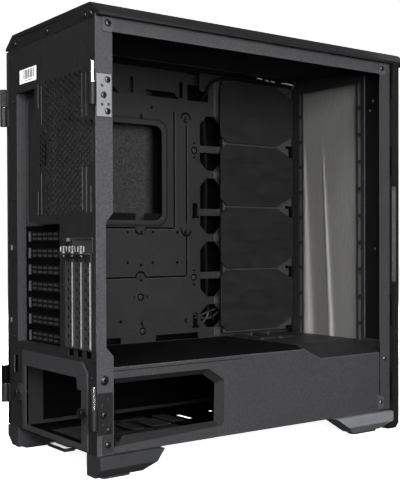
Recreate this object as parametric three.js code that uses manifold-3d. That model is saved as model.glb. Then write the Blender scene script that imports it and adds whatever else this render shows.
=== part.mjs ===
// Open mid-tower computer case, modelled as its separate sheet-metal, plastic and wire pieces.
// Millimetres, +Z up, front towards -Y, window side towards -X, origin at the bottom centre.
import * as THREE from 'three';
import { mergeVertices } from 'three/addons/utils/BufferGeometryUtils.js';
import Module from 'manifold-3d';

const wasm = await Module();
wasm.setup();

// ---------------------------------------------------------------- driving dimensions
const WIDTH = 240;
const HEIGHT = 520;
const DEPTH = 498;
const CHASSIS_WIDTH = 224;
const BARREL_STANDOFF = 10; // the hinge barrels stand this far behind the rear panel
const SHEET = 1.2; // sheet steel
const GAP = 0.3; // clearance between touching pieces
const FLOOR_Z = 28;
const ROOF_Z = 504;
const PANEL_TOP_Z = 501; // rear panel, door and front panel end under the top cover
const COVER_EDGE_Z = 503;
const CHAMFER = 20; // long edges of the top cover and of the front panel
const CHAMFER_RISE = 14;
const FRONT_FRAME_DEPTH = 30; // front panel, from the posts to the front face
const FAN_PANEL_SETBACK = 38; // inner fan panel, behind the front face
const POST_DEPTH = 21;
const RAIL_HEIGHT = 16;
const TRAY_X = 88; // face of the board tray
const TRAY_TOP_Z = 461;
const TRAY_STEP = 12; // the upper strip of the tray stands this much further back
const SHROUD_Z = 122; // top of the supply shroud
const SHROUD_FRONT_Z = 109;
const BAY_DEPTH = 12; // the socket and card bay is sunk this far into the rear panel

// board standard: socket opening, card pitch and board screw spacing
const IO_WIDTH = 44.45;
const IO_HEIGHT = 158.75;
const SLOT_PITCH = 20.32;
const SLOT_COUNT = 7;
const UPRIGHT_SLOT_COUNT = 3;
const BOARD_COLUMNS = [0, -154.94, -227.33];
const BOARD_ROWS = [0, -157.48, -281.94];

const HALF_W = WIDTH / 2;
const SKIN = CHASSIS_WIDTH / 2;
const REAR_Y = DEPTH / 2 - BARREL_STANDOFF;
const FRONT_Y = -DEPTH / 2;
const FRONT_FRAME_Y = FRONT_Y + FRONT_FRAME_DEPTH;
const FAN_PANEL_Y = FRONT_Y + FAN_PANEL_SETBACK;
const POST_Y = REAR_Y - POST_DEPTH;
const BAY_Y = REAR_Y - BAY_DEPTH;
const PAST = 1; // cutters run this far past the faces they cut

// ---------------------------------------------------------------- solid helpers
function toSolid(geometry) {
  const bare = geometry.index ? geometry.toNonIndexed() : geometry;
  bare.deleteAttribute('normal');
  bare.deleteAttribute('uv');
  const merged = mergeVertices(bare, 1e-4);
  const vertProperties = new Float32Array(merged.attributes.position.array);
  const triVerts = new Uint32Array(merged.index.array);
  return new wasm.Manifold(new wasm.Mesh({ numProp: 3, vertProperties, triVerts }));
}

function toGeometry(solid) {
  const mesh = solid.getMesh();
  const geometry = new THREE.BufferGeometry();
  geometry.setAttribute('position', new THREE.BufferAttribute(mesh.vertProperties, mesh.numProp));
  geometry.setIndex(new THREE.BufferAttribute(mesh.triVerts, 1));
  const flat = geometry.toNonIndexed();
  flat.computeVertexNormals();
  return flat;
}

// A box given by its limits along each axis.
function box(x0, x1, y0, y1, z0, z1) {
  const geometry = new THREE.BoxGeometry(x1 - x0, y1 - y0, z1 - z0);
  geometry.translate((x0 + x1) / 2, (y0 + y1) / 2, (z0 + z1) / 2);
  return toSolid(geometry);
}

// A prism along an axis: the outline's points are (y, z) for 'x', (x, z) for 'y' and (x, y) for 'z'.
function prism(axis, outline, from, to) {
  const shape = Array.isArray(outline) ? new THREE.Shape(outline.map(([u, v]) => new THREE.Vector2(u, v))) : outline;
  const geometry = new THREE.ExtrudeGeometry(shape, { depth: to - from, bevelEnabled: false, curveSegments: 4 });
  geometry.translate(0, 0, from);
  if (axis === 'x') {
    geometry.rotateY(Math.PI / 2);
    geometry.rotateX(Math.PI / 2);
  }
  if (axis === 'y') {
    geometry.rotateX(Math.PI / 2);
    geometry.scale(1, -1, 1);
    flipFaces(geometry);
  }
  return toSolid(geometry);
}

function flipFaces(geometry) {
  const position = geometry.attributes.position;
  for (let corner = 0; corner < position.count; corner += 3) {
    const swapped = new THREE.Vector3().fromBufferAttribute(position, corner + 1);
    const last = new THREE.Vector3().fromBufferAttribute(position, corner + 2);
    position.setXYZ(corner + 1, last.x, last.y, last.z);
    position.setXYZ(corner + 2, swapped.x, swapped.y, swapped.z);
  }
}

// A round bar along an axis through the point (x, y, z), from one place on that axis to another.
function bar(axis, x, y, z, radius, from, to, sides = 20) {
  const geometry = new THREE.CylinderGeometry(radius, radius, to - from, sides);
  const middle = (from + to) / 2;
  if (axis === 'x') {
    geometry.rotateZ(Math.PI / 2);
    geometry.translate(middle, y, z);
  }
  if (axis === 'y') {
    geometry.translate(x, middle, z);
  }
  if (axis === 'z') {
    geometry.rotateX(Math.PI / 2);
    geometry.translate(x, y, middle);
  }
  return toSolid(geometry);
}

// A plate with upright edges under a flat or sloping outline of [x, y, z] corners.
function slopingPlate(corners, thickness) {
  const count = corners.length;
  const points = [...corners, ...corners.map(([x, y, z]) => [x, y, z - thickness])];
  const triangles = [];
  for (let i = 1; i < count - 1; i += 1) {
    triangles.push([0, i, i + 1], [count, count + i + 1, count + i]);
  }
  for (let i = 0; i < count; i += 1) {
    const next = (i + 1) % count;
    triangles.push([i, count + i, count + next], [i, count + next, next]);
  }
  const positions = triangles.flat().flatMap((index) => points[index]);
  const geometry = new THREE.BufferGeometry();
  geometry.setAttribute('position', new THREE.Float32BufferAttribute(positions, 3));
  return toSolid(geometry);
}

function join(...solids) {
  return solids.reduce((sum, next) => sum.add(next));
}

function cut(solid, ...cutters) {
  return cutters.reduce((left, cutter) => left.subtract(cutter), solid);
}

// A rectangle with its four corners cut off, as outline points.
function octagon(u0, u1, v0, v1, cornerU, cornerV) {
  return [
    [u0 + cornerU, v0], [u1 - cornerU, v0], [u1, v0 + cornerV], [u1, v1 - cornerV],
    [u1 - cornerU, v1], [u0 + cornerU, v1], [u0, v1 - cornerV], [u0, v0 + cornerV],
  ];
}

function roundedRectangle(u0, u1, v0, v1, radius) {
  const shape = new THREE.Shape();
  shape.moveTo(u0 + radius, v0);
  shape.lineTo(u1 - radius, v0);
  shape.absarc(u1 - radius, v0 + radius, radius, -Math.PI / 2, 0);
  shape.lineTo(u1, v1 - radius);
  shape.absarc(u1 - radius, v1 - radius, radius, 0, Math.PI / 2);
  shape.lineTo(u0 + radius, v1);
  shape.absarc(u0 + radius, v1 - radius, radius, Math.PI / 2, Math.PI);
  shape.lineTo(u0, v0 + radius);
  shape.absarc(u0 + radius, v0 + radius, radius, Math.PI, 1.5 * Math.PI);
  return shape;
}

// ---------------------------------------------------------------- materials and scene graph
const tower = new THREE.Group();
const chassis = new THREE.Group();
const shell = new THREE.Group();
tower.add(chassis, shell);

function finish(color, roughness, metalness) {
  return () => new THREE.MeshStandardMaterial({ color, roughness, metalness });
}
const paintedSteel = finish(0x2b2b2c, 0.6, 0.2);
const barePlate = finish(0xa9abad, 0.35, 0.9);
const blackPlastic = finish(0x262627, 0.55, 0);
const rubber = finish(0x151515, 0.85, 0);
const filterCloth = finish(0x5c5c5a, 0.9, 0);
const cableSleeve = finish(0x121212, 0.7, 0);
const boardGreen = finish(0x1a241c, 0.5, 0);

function addPart(group, name, solid, makeMaterial, place = [0, 0, 0]) {
  const mesh = new THREE.Mesh(toGeometry(solid), makeMaterial());
  mesh.name = name;
  mesh.position.set(...place);
  group.add(mesh);
  return mesh;
}

// ---------------------------------------------------------------- rear panel with both rear posts
const BAY = { left: -27, right: TRAY_X, bottom: 137, top: 281, socketLeft: 37, socketTop: 445 };
const SOCKET_X = TRAY_X - 5; // far edge of the socket opening
const SOCKET_Z = BAY.top + 2.5;
const SLOT_MID_Z = 206;
const SLOT_LENGTH = 90;
const UPRIGHT_X = -52.5; // first upright card slot
const UPRIGHT_BOTTOM_Z = 141;
const UPRIGHT_TOP_Z = 246;
const SUPPLY = { left: -84.6, right: 66.4, bottom: 32, top: 119 };

function slotZ(index) {
  return SLOT_MID_Z + SLOT_PITCH * ((SLOT_COUNT - 1) / 2 - index);
}

function uprightX(index) {
  return UPRIGHT_X - SLOT_PITCH * index;
}

function rearPost(side) {
  const shoulder = ROOF_Z - RAIL_HEIGHT - GAP;
  const top = COVER_EDGE_Z - GAP;
  const outline = [
    [REAR_Y, FLOOR_Z], [POST_Y, FLOOR_Z], [POST_Y, 135], [POST_Y + 9, 145], [POST_Y + 9, 281],
    [POST_Y, 291], [POST_Y, shoulder], [REAR_Y - 8, shoulder], [REAR_Y - 8, top], [REAR_Y, top],
  ];
  const inner = side * (SKIN - SHEET);
  const outer = side * SKIN;
  return prism('x', outline, Math.min(inner, outer), Math.max(inner, outer));
}

function bayShell(margin, floorY, mouthY) {
  const slots = box(BAY.left - margin, BAY.right + margin, floorY, mouthY, BAY.bottom - margin, BAY.top + margin);
  const sockets = box(
    BAY.socketLeft - margin, BAY.right + margin, floorY, mouthY, BAY.top - margin - PAST, BAY.socketTop + margin);
  return join(slots, sockets);
}

function bayOpenings() {
  const socket = box(
    SOCKET_X - IO_WIDTH, SOCKET_X, BAY_Y - 2 * SHEET, BAY_Y + PAST, SOCKET_Z, SOCKET_Z + IO_HEIGHT);
  const openings = [socket];
  for (let index = 0; index < SLOT_COUNT; index += 1) {
    const z = slotZ(index);
    openings.push(box(BAY.left + 6, BAY.left + 6 + SLOT_LENGTH, BAY_Y - 2 * SHEET, BAY_Y + PAST, z - 5, z + 5));
  }
  return openings;
}

// Long upright fan-screw slots beside the rear fan vent: x, bottom z, top z.
const FAN_SLOTS = [
  [26, 420, 449], [17, 399, 446], [17.5, 292, 342], [27, 292, 321],
  [-83, 398, 446], [-92, 398, 445], [-104.5, 347, 394], [-83, 295, 342], [-92, 292, 342], [-102, 292, 321],
];
const FAN_SLOT_WIDTH = 4.6;

function makeRearPanel() {
  const throughY = [REAR_Y - 2 * SHEET, REAR_Y + PAST];
  const plate = box(-SKIN, SKIN, REAR_Y - SHEET, REAR_Y, FLOOR_Z, PANEL_TOP_Z);
  const solid = join(plate, rearPost(-1), rearPost(1), bayShell(SHEET, BAY_Y - SHEET, REAR_Y));
  const cutters = [bayShell(0, BAY_Y, REAR_Y + PAST), ...bayOpenings()];
  for (const [x, bottom, top] of FAN_SLOTS) {
    cutters.push(box(x - FAN_SLOT_WIDTH / 2, x + FAN_SLOT_WIDTH / 2, ...throughY, bottom, top));
  }
  for (let index = 0; index < UPRIGHT_SLOT_COUNT; index += 1) {
    const x = uprightX(index);
    cutters.push(box(x - 6, x + 6, ...throughY, UPRIGHT_BOTTOM_Z + 4, UPRIGHT_TOP_Z - 6));
    cutters.push(box(x - 6.5, x + 6, ...throughY, UPRIGHT_BOTTOM_Z - 9, UPRIGHT_BOTTOM_Z - 1));
  }
  cutters.push(box(SUPPLY.left, SUPPLY.right, ...throughY, SUPPLY.bottom, SUPPLY.top));
  cutters.push(box(88.5, 99.5, ...throughY, 97, 119));
  for (const screw of SUPPLY_SCREWS) {
    cutters.push(bar('y', screw.x, 0, screw.z, SCREW_RADIUS + GAP, ...throughY, 12));
  }
  return cut(solid, ...cutters);
}

// ---------------------------------------------------------------- roof, floor, tray and front fan panel
const ROOF_OPENING = { halfWidth: 60, back: 205, front: -165 };
const CABLE_NOTCH = { left: 62, right: 84, front: -208, back: -190 };

function makeRoofPanel() {
  const railEnd = REAR_Y - 8 - GAP;
  const plate = box(-SKIN, SKIN, FRONT_FRAME_Y, REAR_Y - 3, ROOF_Z - SHEET, ROOF_Z);
  const rails = [-1, 1].map((side) => {
    const inner = side * (SKIN - SHEET);
    const outer = side * SKIN;
    return box(
      Math.min(inner, outer), Math.max(inner, outer), FRONT_FRAME_Y, railEnd, ROOF_Z - RAIL_HEIGHT, ROOF_Z);
  });
  const corners = [-1, 1].map((side) => {
    const inner = side * (SKIN - SHEET - GAP);
    const outer = side * (SKIN + PAST);
    return box(Math.min(inner, outer), Math.max(inner, outer), railEnd, REAR_Y, ROOF_Z - 3, ROOF_Z + PAST);
  });
  const throughZ = [ROOF_Z - 2 * SHEET, ROOF_Z + PAST];
  const opening = box(
    -ROOF_OPENING.halfWidth, ROOF_OPENING.halfWidth, ROOF_OPENING.front, ROOF_OPENING.back, ...throughZ);
  const notch = box(CABLE_NOTCH.left, CABLE_NOTCH.right, CABLE_NOTCH.front, CABLE_NOTCH.back, ...throughZ);
  return cut(join(plate, ...rails), opening, notch, ...corners);
}

const FILTER = { left: -80, right: 60, front: 60, back: 225, bottom: 22.6, top: 27 };
const FLOOR_VENT = { left: -75, right: 55, front: 75, back: 215 };
const FILTER_RAIL = 2;

function filterRail(side) {
  const inner = side < 0 ? FILTER.left - GAP : FILTER.right + GAP;
  const wall = box(
    Math.min(inner, inner + side * FILTER_RAIL), Math.max(inner, inner + side * FILTER_RAIL),
    FILTER.front, FILTER.back, FILTER.bottom - GAP - FILTER_RAIL, FLOOR_Z + SHEET / 2);
  const lip = box(
    Math.min(inner + side * FILTER_RAIL, inner - side * 5), Math.max(inner + side * FILTER_RAIL, inner - side * 5),
    FILTER.front, FILTER.back, FILTER.bottom - GAP - FILTER_RAIL, FILTER.bottom - GAP);
  return join(wall, lip);
}

function makeFloorPanel() {
  const edge = SKIN - SHEET - GAP;
  const plate = box(-edge, edge, FRONT_FRAME_Y, REAR_Y - SHEET - GAP, FLOOR_Z, FLOOR_Z + SHEET);
  const lip = box(edge - 2, SKIN, -199, POST_Y - GAP, FLOOR_Z, FLOOR_Z + SHEET);
  const rail = box(SKIN - SHEET, SKIN, -199, POST_Y - GAP, FLOOR_Z, FLOOR_Z + 22);
  const throughZ = [FLOOR_Z - PAST, FLOOR_Z + 2 * SHEET];
  const vent = box(FLOOR_VENT.left, FLOOR_VENT.right, FLOOR_VENT.front, FLOOR_VENT.back, ...throughZ);
  const cableHoles = [box(0, 34, 32, 40, ...throughZ), box(24, 34, -20, -12, ...throughZ)];
  return cut(join(plate, lip, rail, filterRail(-1), filterRail(1)), vent, ...cableHoles);
}

const TRAY_FRONT_Y = FAN_PANEL_Y + GAP;
const TRAY_BACK_Y = BAY_Y - SHEET - GAP;
const COLUMN_BACK_Y = -42; // the cable column rises to the roof in front of here
const STRIP_FRONT_Y = -29;
const CABLE_GAP = { front: -57, back: -42, top: 476 }; // cables pass from the roof to the far side here
const CPU_CUTOUT = { front: 23, back: 179, bottom: 290, top: 421, radius: 12 };
const CABLE_HOLES = [[363, 441], [272, 352], [181, 261], [137, 170]];
const CABLE_HOLE = { front: -79, back: -42, corner: 12 };
const BOARD_FIRST_HOLE = { y: 211, z: 431.6 };
const BAY_SIDE = { front: -198, back: 205, bottom: 34, top: 116 }; // supply cables and drive trays pass here
const STANDOFF_HEIGHT = 6.2;
const STANDOFF_RADIUS = 3;

function standoffs() {
  const pillars = [];
  for (const column of BOARD_COLUMNS) {
    for (const row of BOARD_ROWS) {
      const y = BOARD_FIRST_HOLE.y + column;
      const z = BOARD_FIRST_HOLE.z + row;
      pillars.push(bar('x', 0, y, z, STANDOFF_RADIUS, TRAY_X - STANDOFF_HEIGHT, TRAY_X + SHEET / 2, 8));
    }
  }
  return pillars;
}

function makeTray() {
  const stripX = TRAY_X + TRAY_STEP;
  const outline = [
    [TRAY_BACK_Y, FLOOR_Z + SHEET + GAP], [TRAY_FRONT_Y, FLOOR_Z + SHEET + GAP], [TRAY_FRONT_Y, 502],
    [COLUMN_BACK_Y, 502], [COLUMN_BACK_Y, CABLE_GAP.top], [CABLE_GAP.front, CABLE_GAP.top],
    [CABLE_GAP.front, TRAY_TOP_Z], [TRAY_BACK_Y, TRAY_TOP_Z],
  ];
  const sheet = prism('x', outline, TRAY_X, TRAY_X + SHEET);
  const step = box(TRAY_X, stripX + SHEET, STRIP_FRONT_Y, TRAY_BACK_Y, TRAY_TOP_Z - SHEET, TRAY_TOP_Z);
  const strip = box(stripX, stripX + SHEET, STRIP_FRONT_Y, TRAY_BACK_Y, TRAY_TOP_Z - SHEET, 502.5);
  const throughX = [TRAY_X - PAST, TRAY_X + SHEET + PAST];
  const stripThroughX = [stripX - PAST, stripX + SHEET + PAST];
  const cpu = roundedRectangle(
    CPU_CUTOUT.front, CPU_CUTOUT.back, CPU_CUTOUT.bottom, CPU_CUTOUT.top, CPU_CUTOUT.radius);
  const cutters = [prism('x', cpu, ...throughX)];
  for (const [bottom, top] of CABLE_HOLES) {
    const hole = octagon(CABLE_HOLE.front, CABLE_HOLE.back, bottom, top, CABLE_HOLE.corner, CABLE_HOLE.corner);
    cutters.push(prism('x', hole, ...throughX));
  }
  for (const middle of [17.5, 116.5]) {
    const trapezoid = [[middle - 34, 461.5], [middle + 34, 461.5], [middle + 23, 472], [middle - 23, 472]];
    cutters.push(prism('x', trapezoid, ...stripThroughX));
  }
  for (const y of [64.5, -18]) {
    cutters.push(box(...stripThroughX, y - 3, y + 3, 465.5, 488));
  }
  for (const [front, back] of [[90, 115], [-38, 34]]) {
    cutters.push(box(...throughX, front, back, SHROUD_Z + 0.5, SHROUD_Z + 9));
  }
  const { front, back, bottom, top } = BAY_SIDE;
  cutters.push(box(...throughX, front, back, bottom, top));
  return cut(join(sheet, step, strip, ...standoffs()), ...cutters);
}

const FAN_OPENING = { halfWidth: 56, bottom: 62, top: 484 };
const FAN_RAIL_X = 62.25;
const FAN_RAIL_PITCH = 38;
const FAN_RAIL_SLOT = 33;
const FAN_RAIL_TOP_Z = 468;
const FAN_RAIL_COUNT = 11;

function makeFrontFanPanel() {
  const postTop = ROOF_Z - RAIL_HEIGHT - GAP;
  const bottom = FLOOR_Z + SHEET + GAP;
  const plate = box(-SKIN, SKIN, FAN_PANEL_Y - SHEET, FAN_PANEL_Y, bottom, postTop);
  const head = box(
    -SKIN + SHEET + GAP, SKIN - SHEET - GAP, FAN_PANEL_Y - SHEET, FAN_PANEL_Y, postTop - PAST,
    ROOF_Z - SHEET - GAP);
  const posts = [-1, 1].map((side) => {
    const inner = side * (SKIN - SHEET);
    const outer = side * SKIN;
    return box(Math.min(inner, outer), Math.max(inner, outer), FRONT_FRAME_Y, FAN_PANEL_Y + 11, bottom, postTop);
  });
  const throughY = [FAN_PANEL_Y - SHEET - PAST, FAN_PANEL_Y + PAST];
  const cutters = [
    box(-FAN_OPENING.halfWidth, FAN_OPENING.halfWidth, ...throughY, FAN_OPENING.bottom, FAN_OPENING.top),
  ];
  for (const side of [-1, 1]) {
    for (let index = 0; index < FAN_RAIL_COUNT; index += 1) {
      const x = side * FAN_RAIL_X;
      const z = FAN_RAIL_TOP_Z - FAN_RAIL_PITCH * index;
      cutters.push(box(x - 3, x + 3, ...throughY, z - FAN_RAIL_SLOT / 2, z + FAN_RAIL_SLOT / 2));
    }
  }
  return cut(join(plate, head, ...posts), ...cutters);
}

// ---------------------------------------------------------------- supply shroud
const SHROUD_STEP_Y = -59; // the top starts to drop here
const SHROUD_SPLIT_Y = -89; // the separate front cover starts here
const SHROUD_SLOPE_X = -60; // the front cover slopes down from here to the window side
const SHROUD_SIDE_BOTTOM = FLOOR_Z + GAP;

function frontSlopeZ(x) {
  return SHROUD_FRONT_Z + (SHROUD_Z - SHROUD_FRONT_Z) * (x + SKIN) / (SHROUD_SLOPE_X + SKIN);
}

function makeShroud() {
  const back = REAR_Y - SHEET - GAP;
  const right = TRAY_X - GAP;
  const flat = box(-SKIN, right, SHROUD_SPLIT_Y, back, SHROUD_Z - SHEET, SHROUD_Z);
  const corner = [
    [-SKIN - PAST, SHROUD_STEP_Y - 1], [-SKIN - PAST, SHROUD_SPLIT_Y - PAST],
    [SHROUD_SLOPE_X - 3, SHROUD_SPLIT_Y - PAST],
  ];
  const roof = cut(flat, prism('z', corner, SHROUD_Z - 2 * SHEET, SHROUD_Z + PAST));
  const facet = slopingPlate([
    [-SKIN, SHROUD_STEP_Y, SHROUD_Z], [-SKIN, SHROUD_SPLIT_Y, SHROUD_FRONT_Z],
    [SHROUD_SLOPE_X, SHROUD_SPLIT_Y, SHROUD_Z],
  ], SHEET);
  const sideFront = FAN_PANEL_Y + 11 + GAP;
  const sideOutline = [
    [POST_Y - GAP, SHROUD_SIDE_BOTTOM], [POST_Y - GAP, SHROUD_Z], [SHROUD_STEP_Y, SHROUD_Z],
    [SHROUD_SPLIT_Y, SHROUD_FRONT_Z], [sideFront, SHROUD_FRONT_Z], [sideFront, SHROUD_SIDE_BOTTOM],
  ];
  const sidePlate = prism('x', sideOutline, -SKIN, -SKIN + SHEET);
  const windowOutline = [
    [212, 49], [212, 105], [98, 105], [81, 92.5], [82.5, 49],
  ];
  const window = prism('x', windowOutline, -SKIN - PAST, -SKIN + SHEET + PAST);
  const postNotch = box(
    -SKIN - PAST, -SKIN + SHEET + GAP, POST_Y - GAP, REAR_Y, SHROUD_Z - 2 * SHEET, SHROUD_Z + PAST);
  const bayNotch = box(BAY.left - 5, right + PAST, TRAY_BACK_Y - 2, REAR_Y, SHROUD_Z - 2, SHROUD_Z + PAST);
  return cut(join(roof, facet, sidePlate), window, postNotch, bayNotch);
}

const SHROUD_CABLE_OPENING = { left: 20, right: 76, front: -160, back: -100 };

function makeShroudFrontCover() {
  const back = SHROUD_SPLIT_Y - GAP;
  const left = -SKIN + SHEET + GAP;
  const flat = box(SHROUD_SLOPE_X - 0.4, TRAY_X - GAP, TRAY_FRONT_Y, back, SHROUD_Z - SHEET, SHROUD_Z);
  const outline = [
    [left, TRAY_FRONT_Y + 13], [left + 12, TRAY_FRONT_Y], [SHROUD_SLOPE_X, TRAY_FRONT_Y],
    [SHROUD_SLOPE_X, back], [left, back],
  ];
  const slope = slopingPlate(outline.map(([x, y]) => [x, y, frontSlopeZ(x)]), SHEET);
  const edge = frontSlopeZ(left);
  const flange = box(left, left + SHEET, TRAY_FRONT_Y + 15, back - 4, edge - 14, edge - SHEET / 2);
  const opening = box(
    SHROUD_CABLE_OPENING.left, SHROUD_CABLE_OPENING.right, SHROUD_CABLE_OPENING.front,
    SHROUD_CABLE_OPENING.back, SHROUD_Z - 2 * SHEET, SHROUD_Z + PAST);
  return cut(join(flat, slope, flange), opening);
}

const SUPPLY_SCREWS = [{ name: 'left', x: -88, z: 72 }, { name: 'right', x: 77.5, z: 74 }];
const SCREW_RADIUS = 1.7;
const BRACKET_THICKNESS = 2.2;

function makeSupplyBracket() {
  const near = REAR_Y + GAP;
  const far = near + BRACKET_THICKNESS;
  const outline = [[-94, 30], [71, 30], [71, 127], [-83, 127], [-94, 116]];
  const opening = [[-81, 36], [63, 36], [63, 109], [-70, 109], [-72, 96], [-81, 96]];
  const tab = box(70, 84, near, far, 64, 84);
  const cutters = [prism('y', opening, near - PAST, far + PAST)];
  for (const screw of SUPPLY_SCREWS) {
    cutters.push(bar('y', screw.x, 0, screw.z, SCREW_RADIUS + GAP, near - PAST, far + PAST, 12));
  }
  return cut(join(prism('y', outline, near, far), tab), ...cutters);
}

function makeSupplyScrew() {
  const seat = REAR_Y + GAP + BRACKET_THICKNESS + GAP;
  const head = bar('y', 0, 0, 0, 6, seat, seat + 6.5, 18);
  const shank = bar('y', 0, 0, 0, SCREW_RADIUS, REAR_Y - 8, seat + PAST, 12);
  return join(head, shank);
}

// ---------------------------------------------------------------- card slot covers
const COVER_HALF_WIDTH = 6.2;
const UPRIGHT_HALF_WIDTH = 9.2;
const UPRIGHT_TAB = 9.2;
const UPRIGHT_SCREW_OFFSET = 5.5;
const UPRIGHT_SCREW_Y = REAR_Y + 5.5;

// A cover across one card slot, at z = 0, with a lip at its far end and a screw tab at its near end.
function makeSlotCover() {
  const face = BAY_Y + GAP;
  const left = BAY.left + 0.6;
  const right = 72.5;
  const plate = box(left, right, face, face + SHEET, -COVER_HALF_WIDTH, COVER_HALF_WIDTH);
  const lip = box(right - SHEET, right, face, face + 4.2, -COVER_HALF_WIDTH, COVER_HALF_WIDTH);
  const tab = box(left, left + SHEET, face, REAR_Y - 0.5, -COVER_HALF_WIDTH, COVER_HALF_WIDTH);
  return join(plate, lip, tab);
}

// A cover over one upright card slot, at x = 0, with its tab folded out at the top.
function makeUprightCover() {
  const face = REAR_Y + GAP;
  const plate = box(
    -UPRIGHT_HALF_WIDTH, UPRIGHT_HALF_WIDTH, face, face + SHEET, UPRIGHT_BOTTOM_Z, UPRIGHT_TOP_Z + SHEET);
  const fold = box(
    -UPRIGHT_HALF_WIDTH, -UPRIGHT_HALF_WIDTH + SHEET, face, face + 3, UPRIGHT_BOTTOM_Z, UPRIGHT_TOP_Z - 8);
  const tab = box(
    -UPRIGHT_HALF_WIDTH, UPRIGHT_HALF_WIDTH, face, face + UPRIGHT_TAB, UPRIGHT_TOP_Z, UPRIGHT_TOP_Z + SHEET);
  const hole = bar(
    'z', UPRIGHT_SCREW_OFFSET, UPRIGHT_SCREW_Y, 0, 2, UPRIGHT_TOP_Z - PAST, UPRIGHT_TOP_Z + 2 * SHEET, 12);
  return cut(join(plate, fold, tab), hole);
}

function makeUprightScrew() {
  const seat = UPRIGHT_TOP_Z + SHEET + GAP;
  const head = bar('z', 0, UPRIGHT_SCREW_Y, 0, 4.2, seat, seat + 8, 18);
  const shank = bar('z', 0, UPRIGHT_SCREW_Y, 0, SCREW_RADIUS, seat - 4, seat + PAST, 12);
  return join(head, shank);
}

function makeSlotRetainer() {
  const face = REAR_Y + GAP;
  const bottom = UPRIGHT_TOP_Z + SHEET + GAP;
  const plate = box(-106, -59, face, face + 0.8, bottom, bottom + 17);
  const hem = box(-106, -59, face, face + 2.4, bottom + 15.4, bottom + 17);
  return join(plate, hem);
}

// ---------------------------------------------------------------- cable covers beside the tray
const CABLE_COVER = { x: 75, front: -208, back: -70, thickness: 2.4, height: 88.3, pitch: 91 };
const CABLE_COVER_BOTTOM = 131;
const CABLE_COVER_COUNT = 4;
const CABLE_FRAME_X = 78.6;

function makeCableCover() {
  const { front, back, thickness, height } = CABLE_COVER;
  const outline = [
    [front, 16], [front + 32, 0], [back - 11, 0], [back, 9.5],
    [back, height - 9.5], [back - 11, height], [front + 32, height], [front, height - 16],
  ];
  const plate = prism('x', outline, CABLE_COVER.x, CABLE_COVER.x + thickness);
  const feet = [front + 30, back - 20].map((y) => {
    const start = CABLE_COVER.x + thickness - 0.5;
    return bar('x', 0, y, height / 2, 3, start, CABLE_FRAME_X - GAP, 10);
  });
  return join(plate, ...feet);
}

function makeCableCoverFrame() {
  const { front, back } = CABLE_COVER;
  const top = CABLE_COVER_BOTTOM + CABLE_COVER.pitch * CABLE_COVER_COUNT;
  const plate = box(CABLE_FRAME_X, CABLE_FRAME_X + SHEET, front, back - 6, CABLE_COVER_BOTTOM - 3, top - 2);
  const web = box(CABLE_FRAME_X, TRAY_X - GAP, back - 40, back - 40 + SHEET, CABLE_COVER_BOTTOM, top - 6);
  const frontWeb = box(CABLE_FRAME_X, TRAY_X - GAP, front + 8, front + 8 + SHEET, CABLE_COVER_BOTTOM, top - 6);
  const windows = [];
  for (let index = 0; index < CABLE_COVER_COUNT; index += 1) {
    const bottom = CABLE_COVER_BOTTOM + CABLE_COVER.pitch * index;
    windows.push(box(
      CABLE_FRAME_X - PAST, CABLE_FRAME_X + SHEET + PAST, front + 36, back - 44, bottom + 50, bottom + 76));
  }
  return cut(join(plate, web, frontWeb), ...windows);
}

// ---------------------------------------------------------------- filters
function makeFrontFilter() {
  return box(-70, 70, FRONT_FRAME_Y + 1, FRONT_FRAME_Y + 3, 56, 488);
}

function makeTopFilter() {
  const margin = 5;
  return box(
    -ROOF_OPENING.halfWidth - margin, ROOF_OPENING.halfWidth + margin, ROOF_OPENING.front - margin,
    ROOF_OPENING.back + margin, ROOF_Z + GAP, ROOF_Z + GAP + 1.5);
}

function makeBottomFilter() {
  const body = box(FILTER.left, FILTER.right, FILTER.front, FILTER.back, FILTER.bottom, FILTER.top);
  const neck = box(-44, -14, FILTER.back - PAST, REAR_Y, FILTER.bottom, FILTER.top);
  const pull = box(-50, -8, REAR_Y - 6, REAR_Y + 7, FILTER.bottom, FILTER.top - 1);
  return join(body, neck, pull);
}

// ---------------------------------------------------------------- outer shell
const WALL = 2.5;
const GRILLE = { halfWidth: 72, front: -184, back: 214 };
const BUTTONS = {
  power: { x: 88, y: -220, radius: 7 },
  reset: { x: 71, y: -220, radius: 3 },
};
const SOCKETS = [{ x: 52, halfX: 6.6, halfY: 2.8 }, { x: 33, halfX: 6.6, halfY: 2.8 }];
const JACK = { x: 17, radius: 3 };

function coverProfile(inset) {
  const edge = HALF_W - inset;
  const flat = HALF_W - CHAMFER - inset * 0.4;
  return [
    [-edge, COVER_EDGE_Z], [edge, COVER_EDGE_Z], [edge, HEIGHT - CHAMFER_RISE - inset * 0.4],
    [flat, HEIGHT - inset], [-flat, HEIGHT - inset], [-edge, HEIGHT - CHAMFER_RISE - inset * 0.4],
  ];
}

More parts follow.
